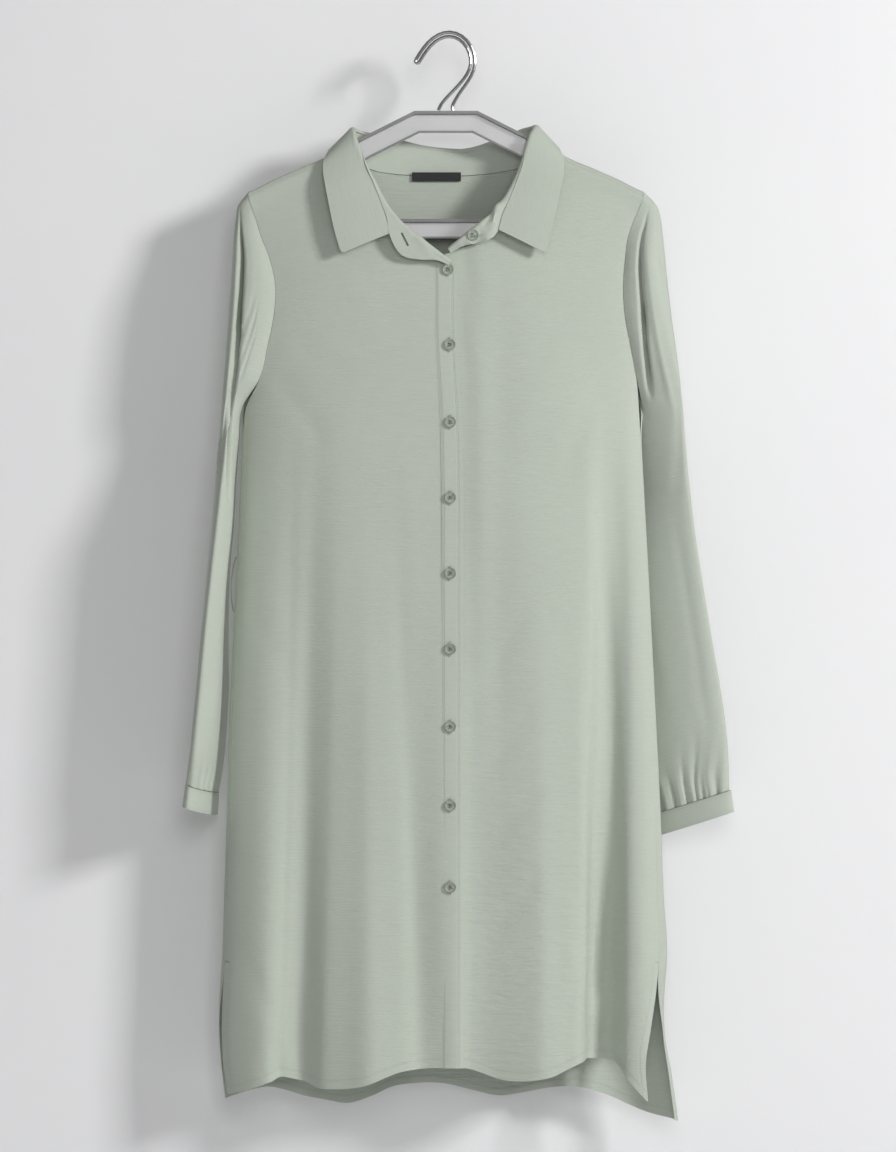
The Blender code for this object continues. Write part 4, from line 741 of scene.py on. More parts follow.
class Cloth:
    """A fine grid of cloth with its lengths, its weave and its stitched lines.

    From the row joined_from down the first and last columns are one, so that the cloth is a tube.
    """

    def __init__(self, grid, anchor=0, hung=False, joined_from=None):
        self.joined = slice(len(grid) if joined_from is None else joined_from, None)
        grid[self.joined, 0] = grid[self.joined, -1] = (grid[self.joined, 0] + grid[self.joined, -1]) / 2
        self.grid = grid
        self.across, self.down = across_lengths(grid), down_lengths(grid)
        weave_down = -grid[:, :, 2] * MM if hung else self.down - self.down[-1:]
        weave_across = self.across - self.across[:, anchor][:, None]
        self.weave = np.stack((weave_across, weave_down), axis=-1).reshape(-1, 2)
        self.lines = {letter: (np.full(grid.shape[:2], NO_LINE),) * 2 for letter in "ab"}

    def line(self, letter, distance, run):
        """A stitched line: its signed distance and the length along it, negative where it is absent."""
        self.lines[letter] = distance, run

    def corners(self, ids):
        """Corners of every face of the thin wall, given the ids of its outer points."""
        size = ids.size
        open_rows = min(self.joined.start + 1, len(ids))
        quads = np.stack((ids[:-1, :-1], ids[1:, :-1], ids[1:, 1:], ids[:-1, 1:]), -1).reshape(-1, 4)
        starts = np.concatenate((ids[:open_rows - 1, 0], ids[-1, :-1], ids[1:open_rows, -1], ids[0, 1:]))
        ends = np.concatenate((ids[1:open_rows, 0], ids[-1, 1:], ids[:open_rows - 1, -1], ids[0, :-1]))
        rim = np.stack((ends, starts, starts + size, ends + size), axis=-1)
        return np.concatenate((quads, quads[:, ::-1] + size, rim))

    def shell(self, name, finish, thickness):
        """Makes the closed thin wall, its weave coordinates and its line attributes."""
        grid, joined = self.grid, self.joined
        normals = normals_of(grid)
        ids = np.arange(grid.size // 3).reshape(grid.shape[:2])
        shared_ids = ids.copy()
        if joined.start < len(grid):
            shared_ids[joined, -1] = shared_ids[joined, 0]
            down = np.gradient(grid[joined, 0], axis=0)
            seam = unit(np.cross(down, grid[joined, 1] - grid[joined, -2]))
            normals[joined, 0] = normals[joined, -1] = seam
        points = np.concatenate((grid.reshape(-1, 3), (grid - normals * thickness).reshape(-1, 3))) * MM
        used, faces = np.unique(self.corners(shared_ids), return_inverse=True)
        mesh = bpy.data.meshes.new(name)
        mesh.from_pydata(points[used].tolist(), [], faces.reshape(-1, 4).tolist())
        weave = np.tile(self.weave, (2, 1))[self.corners(ids).ravel()]
        mesh.uv_layers.new(name="weave").uv.foreach_set("vector", weave.astype(np.float32).ravel())
        for letter, line in self.lines.items():
            for kind, values in zip(("line_", "run_"), line):
                flat = np.tile(values.ravel(), 2)[used].astype(np.float32)
                mesh.attributes.new(kind + letter, "FLOAT", "POINT").data.foreach_set("value", flat)
        mesh.shade_smooth()
        mesh.set_sharp_from_angle(angle=SHARP_ANGLE)
        return add_piece(name, mesh, "cloth", finish)

    def sheet(self, node, finish, held, rests_on, thickness=VISIBLE_CLOTH):
        """Makes the piece that stands for a node and hides the node's solid."""
        obj = self.shell(node + "_cloth", finish, thickness)
        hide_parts(node)
        down, right = self.grid[1:, :-1], self.grid[:-1, 1:]
        doubled = sum(np.linalg.norm(np.cross(down - corner, right - corner), axis=2).sum()
                      for corner in (self.grid[:-1, :-1], self.grid[1:, 1:]))
        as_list(rests_on)


def add_piece(name, mesh, slot_name, finish):
    obj = bpy.data.objects.new(name, mesh)
    bpy.context.scene.collection.objects.link(obj)
    mesh.materials.clear()
    mesh.materials.append(finish)
    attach(obj, "root")
    return obj


# Finishes


class Value:
    """A shader value. An expression on values adds the Math nodes that work it out."""

    def __init__(self, paint, socket):
        self.paint, self.socket = paint, socket

    def math(self, operation, *others):
        return self.paint.add("ShaderNodeMath", {"operation": operation}, [self, *others])

    def __add__(self, other):
        return self.math("ADD", other)

    def __sub__(self, other):
        return self.math("SUBTRACT", other)

    def __mul__(self, other):
        return self.math("MULTIPLY", other)

    def __truediv__(self, other):
        return self.math("DIVIDE", other)

    def __rsub__(self, other):
        return self.paint.add("ShaderNodeMath", {"operation": "SUBTRACT"}, [other, self])


class Paint:
    """A material under construction."""

    def __init__(self, name):
        self.material = bpy.data.materials.new(name)
        self.material.use_nodes = True
        self.tree = self.material.node_tree
        self.shader = self.tree.nodes["Principled BSDF"]

    def put(self, socket, value):
        if isinstance(value, Value):
            self.tree.links.new(value.socket, socket)
        else:
            socket.default_value = value

    def add(self, kind, settings, values, output=0):
        """A node of a kind, with its settings and the values or links of its sockets."""
        node = self.tree.nodes.new(kind)
        for name, setting in settings.items():
            setattr(node, name, setting)
        for key, value in values.items() if isinstance(values, dict) else enumerate(values):
            self.put(node.inputs[key], value)
        return Value(self, node.outputs[output])

    def split(self, vector):
        axis = self.add("ShaderNodeSeparateXYZ", {}, [vector])
        return [Value(self, output) for output in axis.socket.node.outputs]

    def axes(self):
        """Object coordinates x, y and z."""
        return self.split(self.add("ShaderNodeTexCoord", {}, {}, output="Object"))

    def mix(self, factor, low, high):
        """A colour between two colours."""
        settings = {"data_type": "RGBA", "blend_type": "MIX"}
        return self.add("ShaderNodeMix", settings, {0: factor, 6: low, 7: high}, output=2)

    def step(self, value, start, end):
        """Eases from 0 at start to 1 at end."""
        settings = {"interpolation_type": "SMOOTHSTEP", "clamp": True}
        return self.add("ShaderNodeMapRange", settings, {0: value, 1: start, 2: end, 3: 0.0, 4: 1.0})

    def attribute(self, name):
        return self.add("ShaderNodeAttribute", {"attribute_name": name}, {}, output="Fac")

    def noise(self, x, y, z, detail=2.0, roughness=0.5):
        place = self.add("ShaderNodeCombineXYZ", {}, [x, y, z])
        values = {"Vector": place, "Scale": 1.0, "Detail": detail, "Roughness": roughness}
        return self.add("ShaderNodeTexNoise", {}, values)

    def wave(self, value, length):
        return (value * (math.tau / length)).math("SINE")

    def finish(self, **sockets):
        """Fills the named sockets of the shader and gives the material."""
        for name, value in sockets.items():
            self.put(self.shader.inputs[name.replace("_", " ")], value)
        return self.material

    def bump(self, height, distance):
        return self.add("ShaderNodeBump", {}, {"Strength": 1.0, "Distance": distance, "Height": height})


def rgba(colour, scale=1.0):
    return (*(channel * scale for channel in colour), 1.0)


STITCH_HALF_WIDTH = 0.0004
STITCH_LENGTH = 0.0026


def stitches(paint, letter):
    """Mask of one topstitched line and of the shallow groove in which it lies. The groove's mask also carries
    painted shade.
    """
    distance = paint.attribute("line_" + letter).math("ABSOLUTE")
    run = paint.attribute("run_" + letter)
    present = paint.step(run, 0.0, 0.001)
    thread = (1 - paint.step(distance, STITCH_HALF_WIDTH * 0.6, STITCH_HALF_WIDTH * 1.5)) * present
    dash = paint.step(((run / STITCH_LENGTH).math("FRACT") - 0.5).math("ABSOLUTE"), 0.42, 0.34)
    groove = (1 - paint.step(distance, STITCH_HALF_WIDTH, STITCH_HALF_WIDTH * 4.5)) * present
    return thread * dash, groove


def crepe(name, colour, crinkle):
    """Matt crepe: crosswise crinkles, a fine weave, soft uneven colour and topstitching, with painted shade
    in the stitch grooves.
    """
    paint = Paint(name)
    u, v, _ = paint.split(paint.add("ShaderNodeUVMap", {"uv_map": "weave"}, {}))
    x, _, z = paint.axes()
    fine = paint.noise(u * 150.0, v * 1300.0, 0.0, roughness=0.55)
    long_fine = paint.noise(u * 42.0, v * 620.0, 4.0)
    pucker = paint.noise(u * 55.0 + v * 30.0, v * 190.0, 8.0)
    # The puckers are deepest low on the left front
    low_down = paint.step(z, -0.58, -0.86) * paint.step(x, -0.05, 0.05) * (1 - paint.step(x, 0.12, 0.19))
    yarns = paint.wave(u, 0.00062) * paint.wave(v, 0.00055)
    cloud = paint.noise(u * 9.0, v * 14.0, 2.0)
    (thread, groove), others = stitches(paint, "a"), stitches(paint, "b")
    thread, groove = thread.math("MAXIMUM", others[0]), groove.math("MAXIMUM", others[1])
    shade = (fine - 0.5) * 0.35 + (long_fine - 0.5) * 0.45 + (cloud - 0.5) * 0.25 + 0.5
    body = paint.mix(shade, rgba(colour, 0.9), rgba(colour, 1.08))
    # Painted shade: the colour darkens a little in the stitch grooves
    body = paint.mix(groove * 0.12, body, rgba(colour, 0.66))
    height = (fine * 0.5 + long_fine * 0.7 + pucker * (low_down * 2.6 + 0.45)) * crinkle
    height = height + yarns * 0.05 + thread * 0.4 - groove * 0.45
    return paint.finish(
        Base_Color=paint.mix(thread * 0.6, body, rgba(colour, 1.04)), Normal=paint.bump(height, 0.00042),
        Roughness=0.86, Sheen_Weight=0.22, Sheen_Roughness=0.5, Specular_IOR_Level=0.25)


def thread_finish(name, colour):
    """Twisted thread."""
    paint = Paint(name)
    x, _, z = paint.axes()
    twist = paint.wave(x + z, 0.0006)
    return paint.finish(Base_Color=paint.mix(twist * 0.5 + 0.5, rgba(colour, 0.75), rgba(colour, 1.05)),
                        Normal=paint.bump(twist, 0.0001), Roughness=0.7, Sheen_Weight=0.2)


def button_finish(name, colour):
    """Satin resin with faint swirls."""
    paint = Paint(name)
    x, y, z = paint.axes()
    swirl = paint.noise(x * 260.0, y * 260.0, z * 420.0, 3.0, 0.6)
    return paint.finish(
        Base_Color=paint.mix(paint.step(swirl, 0.3, 0.7), rgba(colour, 0.82), rgba(colour, 1.25)),
        Roughness=swirl * 0.16 + 0.3, Specular_IOR_Level=0.45, Normal=paint.bump(swirl, 0.00003))


def tape_finish(name, colour):
    """Black woven tape with a plain rib."""
    paint = Paint(name)
    x, _, z = paint.axes()
    rib = paint.wave(x, 0.0007) * paint.wave(z, 0.0005)
    return paint.finish(Base_Color=paint.mix(rib * 0.5 + 0.5, rgba(colour, 0.6), rgba(colour, 1.6)),
                        Roughness=0.62, Sheen_Weight=0.1, Normal=paint.bump(rib, 0.00008))


def silver_finish(name, colour, metallic, roughness, along, painted_lip_shade):
    """Satin metal with faint drawing lines along X or Z, a cloudy gloss and painted shade that darkens the
    lip.
    """
    paint = Paint(name)
    x, y, z = paint.axes()
    scales = (14.0, 900.0) if along == "X" else (900.0, 30.0)
    lines = paint.noise(x * scales[0], y * 900.0, z * scales[1], roughness=0.6)
    cloud = paint.noise(x * 30.0, y * 30.0, z * 30.0)
    tone = (lines - 0.5) * 0.5 + (cloud - 0.5) * 0.7 + 0.5
    body = paint.mix(tone, rgba(colour, 0.88), rgba(colour, 1.1))
    # Painted shade: the colour darkens on the protruding lip, chosen by its place in Y
    lip = paint.step(y, -0.0014, -0.0019) * painted_lip_shade
    return paint.finish(
        Base_Color=paint.mix(lip, body, rgba(colour, 0.36)), Metallic=metallic,
        Roughness=(lines - 0.5) * 0.1 + (cloud - 0.5) * 0.12 + roughness, Normal=paint.bump(lines, 0.00002))


def wall_finish(name):
    """Matt white paint, drawn only from its front."""
    paint = Paint(name)
    position = paint.add("ShaderNodeTexCoord", {}, {}, output="Object")
    grain = paint.add("ShaderNodeTexNoise", {}, {"Vector": position, "Scale": 3.0, "Detail": 3.0})
    behind = paint.add("ShaderNodeNewGeometry", {}, {}, output="Backfacing")
    clear = paint.add("ShaderNodeBsdfTransparent", {}, {})
    solid = Value(paint, paint.shader.outputs[0])
    both = paint.add("ShaderNodeMixShader", {}, {0: behind, 1: solid, 2: clear})
    paint.put(paint.tree.nodes["Material Output"].inputs["Surface"], both)
    return paint.finish(Base_Color=paint.mix(grain, rgba((0.86, 0.86, 0.87)), rgba((0.9, 0.9, 0.905))),
                        Roughness=0.9, Specular_IOR_Level=0.1)


# Settings that a user may change


class ShirtSettings(bpy.types.PropertyGroup):
    cloth_colour: FloatVectorProperty(
        name="Cloth colour", description="Colour of the crepe",
        default=(0.500, 0.543, 0.470), subtype="COLOR", min=0, max=1,
    )
    crinkle: FloatProperty(
        name="Crinkle", description="Strength of the crosswise crinkles",
        default=1.0, min=0.0, max=3.0, subtype="FACTOR",
    )
    button_colour: FloatVectorProperty(
        name="Button colour", description="Colour of the buttons",
        default=(0.30, 0.33, 0.275), subtype="COLOR", min=0, max=1,
    )
    hanger_colour: FloatVectorProperty(
        name="Hanger colour", description="Colour of the hanger's arms and bar",
        default=(0.5, 0.5, 0.5), subtype="COLOR", min=0, max=1,
    )
    key_power: FloatProperty(
        name="Key light", description="Power of the soft light at the right",
        default=97.0, min=0.0, unit="POWER",
    )
    fill_power: FloatProperty(
        name="Fill light", description="Power of the soft lights beside the camera and behind",
        default=33.0, min=0.0, unit="POWER",
    )
    room_light: FloatProperty(
        name="Room light", description="Brightness of the even light of the room",
        default=0.235, min=0.0, max=2.0, subtype="FACTOR",
    )
    camera_distance: FloatProperty(
        name="Camera distance", description="Distance from the camera to the hook's plane",
        default=4.5, min=1.0, unit="LENGTH",
    )


def settings():
    return bpy.context.scene.shirt_settings


def shared(name, make, *values):
    """A finish that several pieces share."""
    return bpy.data.materials.get(name) or make(name, *values)


def crepe_finish():
    return shared("sage crepe", crepe, tuple(settings().cloth_colour), settings().crinkle)


def firm_finish():
    """The crepe where it is stiffened and pressed smooth, as on the collar, band and cuffs."""
    return shared("pressed crepe", crepe, tuple(settings().cloth_colour), settings().crinkle * 0.4)


def sewing_finish():
    return shared("sewing thread", thread_finish, tuple(channel * 0.8 for channel in settings().cloth_colour))


# Panels

FRONT_CREASES = rows_of(
    Crease,
    (-150, -300, -96, -330, 0.5, 9), (-168, -330, -120, -400, 0.8, 10), (150, -330, 112, -430, 0.9, 11),
    (120, -300, 66, -380, -0.5, 14), (-108, -215, -60, -300, -0.5, 16), (52, -230, 50, -700, 0.9, 16),
    (30, -640, 78, -560, 0.5, 8), (34, -720, 84, -660, 0.6, 8), (28, -800, 92, -730, 0.7, 9),
    (34, -880, 88, -822, 0.7, 8), (-196, -905, -168, -960, 0.8, 9), (196, -905, 172, -970, 0.9, 9),
    (-40, -430, -34, -980, -0.8, 13), (-190, -560, -150, -640, 0.5, 12),
)
BACK_CREASES = rows_of(
    Crease,
    (-160, -310, -104, -380, 0.8, 11), (158, -312, 98, -392, 0.8, 11), (-72, -170, -52, -330, -0.7, 15),
    (76, -176, 60, -350, -0.7, 15), (-8, -190, -2, -520, 0.9, 18), (-120, -560, -70, -640, 0.6, 10),
    (84, -600, 130, -690, 0.6, 10), (-20, -760, 34, -830, 0.6, 10),
)
CREASES_TOP = -150.0
CREASES_EASE = 120.0
SIDE_TURN_X = 205.0
SIDE_EASE = 12.0
EDGE_COLUMNS = 6.0
HEM_TURN = 0.008
SLIT_TURN = 0.0078
TOP_ZONE = 0.02
TOP_STITCH = 0.0035
EDGE_STITCH = 0.0016
BAND_INNER_STITCH = 0.0052
LINE_START = 0.01
BAND_PROUD = SEAM_GAP + BAND_CLOTH
BAND_THICKNESS = 0.45
BAND_FLUSH = 0.5


def slit_length(cloth, side_column):
    """Running length from the slit's top to each row, negative above it."""
    lengths = cloth.down[:, side_column]
    top = np.interp(-SLIT_TOP, -cloth.grid[:, side_column, 2], lengths)
    return np.repeat((lengths - top)[:, None], cloth.grid.shape[1], axis=1)


def creased_panel(grid, creases, folds, seed):
    """A panel's fine grid with its creases, away from its edges and shoulders, and its deepened folds."""
    grid = fine_grid(grid)
    a, b = grid[:, :, 0], grid[:, :, 2]
    away = rise_from(-b, -CREASES_TOP, CREASES_EASE) * inside_edges(grid, EDGE_COLUMNS)
    creased = (crease_depth(creases, a, b) + ripple(a, b, seed)) * away
    at_side = rise_from(abs(a), SIDE_TURN_X, SIDE_EASE)
    return pressed(grid, creased + fold_offset(folds, a, b) * (1 - at_side))


class SHIRT_OT_fronts(bpy.types.Operator):
    """Makes the two front panels and the placket band"""

    bl_idname = "shirt.fronts"
    bl_label = "Fronts"

    def execute(self, context):
        over = right_front_grid()
        for name, grid, anchor, side_column in (
            ("front_right_panel", over, -1, 0),
            ("front_left_panel", left_front_grid(), 0, -1),
        ):
            cloth = Cloth(creased_panel(grid, FRONT_CREASES, FRONT_DEEPENED, 0.4), anchor, hung=True)
            near_top = cloth.down < TOP_ZONE
            on_shoulder = abs(cloth.grid[:1, :, 0]) > -RIGHT_NECK_X
            hem = cloth.down[-1:] - cloth.down - HEM_TURN
            cloth.line("a", np.where(near_top, cloth.down - TOP_STITCH, hem),
                       np.where(near_top & ~on_shoulder, -NO_LINE, cloth.across + LINE_START))
            from_side = cloth.across if side_column == 0 else cloth.across[:, -1:] - cloth.across
            cloth.line("b", from_side - SLIT_TURN, slit_length(cloth, side_column))
            cloth.sheet(name, crepe_finish(), "hung", ["hanger_arms"])
        band = fine_grid(over[2:, -3:] - (0.0, BAND_PROUD, 0.0), ROW_STEP, 1.5)
        # The band lies close to the panel, and its first edge is flush with it
        deeper = fold_offset(FRONT_DEEPENED, band[:, :, 0], band[:, :, 2]) + BAND_PROUD - BAND_THICKNESS
        deeper += BAND_FLUSH * np.clip(1 - np.arange(band.shape[1]) / 2.0, 0.0, 1.0)
        band = Cloth(pressed(band, deeper), 0, hung=True)
        band.line("a", band.across - EDGE_STITCH, band.down + 0.001)
        band.line("b", band.across[:, -1:] - band.across - BAND_INNER_STITCH, band.down + 0.001)
        band.sheet("placket", firm_finish(), "folded", ["front_right_panel_cloth"],
                   BAND_THICKNESS)
        return {"FINISHED"}


SLIT_OPEN = 0.88
SLIT_OPEN_TOP = SLIT_TOP - 6.0
SLIT_OPEN_EASE = 55.0


def open_slits(grid):
    """Below the slits' tops, lets the back's edges spring back from the front's."""
    for row in grid:
        hold = 1 - SLIT_OPEN * ease((SLIT_OPEN_TOP - row[:, 2].mean()) / SLIT_OPEN_EASE)
        low, high = sorted((row[:, 0].argmin(), row[:, 0].argmax()))
        row[:low] = row[low] + (row[:low] - row[low]) * hold
        row[high + 1:] = row[high] + (row[high + 1:] - row[high]) * hold


class SHIRT_OT_back(bpy.types.Operator):
    """Makes the back panel"""

    bl_idname = "shirt.back"
    bl_label = "Back"

    def execute(self, context):
        grid = creased_panel(back_grid(), BACK_CREASES, BACK_DEEPENED, 1.9)
        open_slits(grid)
        cloth = Cloth(grid, grid.shape[1] // 2, hung=True)
        cloth.line("a", cloth.down[-1:] - cloth.down - HEM_TURN, cloth.across + LINE_START)
        from_side = np.minimum(cloth.across, cloth.across[:, -1:] - cloth.across)
        cloth.line("b", from_side - SLIT_TURN, slit_length(cloth, 0))
        cloth.sheet("back_panel", crepe_finish(), "hung", ["hanger_arms"])
        return {"FINISHED"}


# Collar

STAND_CREASES = rows_of(
    Crease,
    (50, -160, 36, -212, 1.9, 2.1), (58, -164, 44, -204, -1.2, 2), (44, -172, 26, -202, -1.3, 2),
    (33, -186, 40, -212, 1.6, 2), (28, -190, 14, -214, 1.7, 1.9), (20, -194, 30, -208, -1.2, 1.8),
    (10, -204, 26, -215, 1.2, 1.8), (-30, -196, -16, -216, 0.9, 2.4),
)
CREST_X = (-85.0, -66.0, -40.0, -12.0, 14.0, 34.0, 56.0, 74.0, 90.0)
CREST_RISE = (0.0, 2.5, 3.5, 2.5, 1.0, 2.5, 4.0, 3.5, 0.0)
CREST_EASE = 24.0
CREST_POWER = 1.5
CREST_START_Y = -4.0
CREST_EASE_Y = 10.0
LEAF_DROP = 3.0
LEAF_LIFT = 0.9
LEAF_FRONT_LIFT = 1.5
LEAF_FRONT_Y = 2.0
LEAF_FRONT_EASE = 14.0
POINT_RADIUS = 5.0
COLLAR_SLIT_X = -42.5
COLLAR_SLIT_Z = -199.0
SLIT_UPWARD = (-0.45, 0.0, 0.9)
# Dark colour of the collar buttonhole's thread, a painted shadow of the slit
SLIT_SHADOW_COLOUR = (0.11, 0.125, 0.10)
COLLAR_THICKNESS = 0.9
COLLAR_STEPS = (1.4, 1.8)
FRONT_WEIGHT = 0.6
SLIT_LIFT = 0.1
HOLE_THREAD = 0.3


def raise_crest(grid):
    """Lets the back of the collar stand a little higher and less evenly than the solids."""
    near_top = rise_from(grid[:, :, 2], grid[:, :, 2].max(axis=0, keepdims=True) - CREST_EASE, CREST_EASE)
    at_back = rise_from(grid[:, :, 1], CREST_START_Y, CREST_EASE_Y)
    grid[:, :, 2] += np.interp(grid[:, :, 0], CREST_X, CREST_RISE) * near_top**CREST_POWER * at_back


def let_down(grid):
    """Draws the leaf's free edge down a little and lifts it off the panel."""
    share = np.linspace(0.0, 1.0, len(grid))[:, None, None] ** 2
    at_front = rise_from(-grid[:, :, 1:2], LEAF_FRONT_Y, LEAF_FRONT_EASE)
    down = unit(np.gradient(grid, axis=0))
    lift = normals_of(grid) * (LEAF_LIFT + LEAF_FRONT_LIFT * at_front)
    return grid + (down * LEAF_DROP * at_front + lift) * share


def round_points(grid):
    """Rounds the two points of the leaf's free edge."""
    for order in (grid, grid[:, ::-1]):
        down = down_lengths(order) / MM
        side = 1 - across_lengths(order) / MM / POINT_RADIUS
        below = 1 - (down[-1:] - down) / POINT_RADIUS
        corner = (side > 0) & (below > 0)
        rows, columns = np.nonzero(corner)
        centre = order[rows.min(), columns.max()].copy()
        share = np.maximum(side, below)[corner] / np.hypot(side, below)[corner]
        order[corner] = centre + (order[corner] - centre) * share[:, None]


def nearest(grid, x, z):
    """Place and outward direction of the front grid point nearest to x and z."""
    away = np.hypot(grid[:, :, 0] - x, grid[:, :, 2] - z) + grid[:, :, 1] * FRONT_WEIGHT
    row, column = np.unravel_index(away.argmin(), away.shape)
    return grid[row, column], normals_of(grid)[row, column]


class SHIRT_OT_collar(bpy.types.Operator):
    """Makes the collar stand, its buttonhole and the turned-down leaf"""

    bl_idname = "shirt.collar"
    bl_label = "Collar"

    def execute(self, context):
        for name, sections in zip(("collar_stand", "collar_leaf"), collar_grids()):
            grid = fine_grid(sections, *COLLAR_STEPS)
            raise_crest(grid)
            if name == "collar_leaf":
                grid = let_down(grid)
                round_points(grid)
            else:
                inside = rise_from(-grid[:, :, 1], 6.0, 4.0)
                grid = pressed(grid, crease_depth(STAND_CREASES, grid[:, :, 0], grid[:, :, 2]) * inside)
                place, facing = nearest(grid, COLLAR_SLIT_X, COLLAR_SLIT_Z)
                if facing[1] > 0:
                    place, facing = place - facing * COLLAR_THICKNESS, -facing
                # The collar's buttonhole is a ring of thread coloured dark, as painted shadow in the slit
                slit = buttonhole_mesh("collar slit", 14.0, 0.5, HOLE_THREAD)
                slit.transform(place_on(place + facing * SLIT_LIFT, facing, SLIT_UPWARD))
                add_piece("collar_slit", slit, "cloth", shared("slit edge", thread_finish, SLIT_SHADOW_COLOUR))
            cloth = Cloth(grid, grid.shape[1] // 2)
            panels = ["front_right_panel_cloth", "front_left_panel_cloth"]
            cloth.sheet(name, firm_finish(), "folded", panels, COLLAR_THICKNESS)
        return {"FINISHED"}


# Sleeves. Their creases' places are in hundredths of a turn round the sleeve.

RIGHT_SLEEVE_CREASES = rows_of(
    Crease,
    (26, -172, 25.5, -290, 14, 1.5), (25.5, -268, 22, -372, 15, 1.5), (22.5, -350, 15, -446, 13, 1.5),
    (31, -190, 28, -400, -2, 2.4), (12, -430, 12, -700, -4, 7), (18, -256, 23, -300, 1.1, 0.9),
    (15, -268, 21, -322, 1.2, 0.9), (13, -290, 19, -338, 1, 0.9), (22, -236, 26, -268, 0.8, 0.8),
    (60, -300, 70, -400, 2, 3), (44, -420, 40, -640, 1.6, 2.6), (30, -560, 28, -700, 1.4, 1.6),
)
LEFT_SLEEVE_CREASES = rows_of(
    Crease,
    (18, -168, 15, -282, 8, 1.7), (15.5, -262, 8, -345, 9, 1.7), (23, -190, 20, -360, -1.5, 2),
    (26, -330, 17, -450, 0.9, 2.6), (30, -420, 24, -620, 0.9, 3.4), (16, -470, 14, -700, 0.7, 2.6),
    (62, -320, 76, -410, 2, 3), (56, -560, 62, -690, 1.8, 3),
)
# Gathers into the cuffs: place in hundredths of a turn, height above the cuff, depth and reach
Gather = namedtuple("Gather", "place height depth reach")
RIGHT_GATHERS = rows_of(
    Gather,
    (23, 26, 2, 0.8), (18, 34, 2.6, 0.9), (13, 18, 1.4, 0.7), (8, 28, 2.2, 0.8), (3, 18, 1.4, 0.7),
    (95, 22, 1.6, 0.8),
)
LEFT_GATHERS = rows_of(
    Gather,
    (95, 24, 3, 0.8), (4, 42, 3.8, 0.8), (10, 62, 5, 0.9), (13.6, 16, 2, 0.6), (16.6, 18, 2, 0.6),
    (19.8, 26, 3.2, 0.7), (22.8, 14, 1.4, 0.6), (99.4, 12, 1.2, 0.6),
)
BEHIND = rows_of(
    Gather,
    (27, 30, 1.6, 1), (31, 46, 2.6, 1.1), (36, 30, 2, 1), (41, 58, 3, 1.2), (46.5, 22, 1.4, 0.8),
    (51, 40, 2.4, 1), (56.5, 20, 1.3, 0.8), (62, 34, 2.2, 1), (68, 26, 1.7, 0.9), (74, 38, 2.2, 1),
    (80, 20, 1.4, 0.8), (86, 32, 1.8, 1),
)


LEVEL_WITH_PANEL = 0.75
LEVEL_SOFTNESS = 6.0
LEVEL_START = -440.0
LEVEL_EASE = 90.0
SLEEVE_STEPS = (5.0, 1.3)
SLEEVE_RIPPLE_SCALE = 2.5
SLEEVE_RIPPLE = 0.7
SLEEVE_EDGE_COLUMNS = 5.0
SLEEVE_CREASES_TOP = -165.0
SLEEVE_CREASES_EASE = 60.0
CREASES_ABOVE_CUFF = 40.0
JOIN_BELOW_ARMPIT = 12.0
GATHER_TOP = 1.6
GATHER_SCALE = 0.6
GATHER_FADE = 1.8
CUFF_STEPS = (3.0, 2.0)
CUFF_THICKNESS = 1.0


def lie_back(grid, side):
    """Lets the sleeve's front lie level with the panel beside it above the armpit."""
    order = grid[:, ::side]
    hold = rise_from(order[:, :, 2], LEVEL_START, LEVEL_EASE)
    proud = np.maximum(order[:, :1, 1] - order[:, :, 1], 0.0)
    eased = LEVEL_SOFTNESS * (1 - np.exp(-proud / LEVEL_SOFTNESS))
    front = np.arange(grid.shape[1]) < grid.shape[1] // 2
    order[:, :, 1] += (proud - eased) * hold * LEVEL_WITH_PANEL * front


def gather_depth(gathers, place, height):
    """Depth of the gathers by place round the sleeve and height above the cuff."""
    total = 0.0
    for gather in gathers:
        up = np.clip(height / gather.height, 0.0, GATHER_TOP)
        spread = np.exp(-(((place - gather.place) / (gather.reach * (1 + up))) ** 2))
        total += gather.depth * GATHER_SCALE * spread * np.exp(-GATHER_FADE * up**2)
    return total


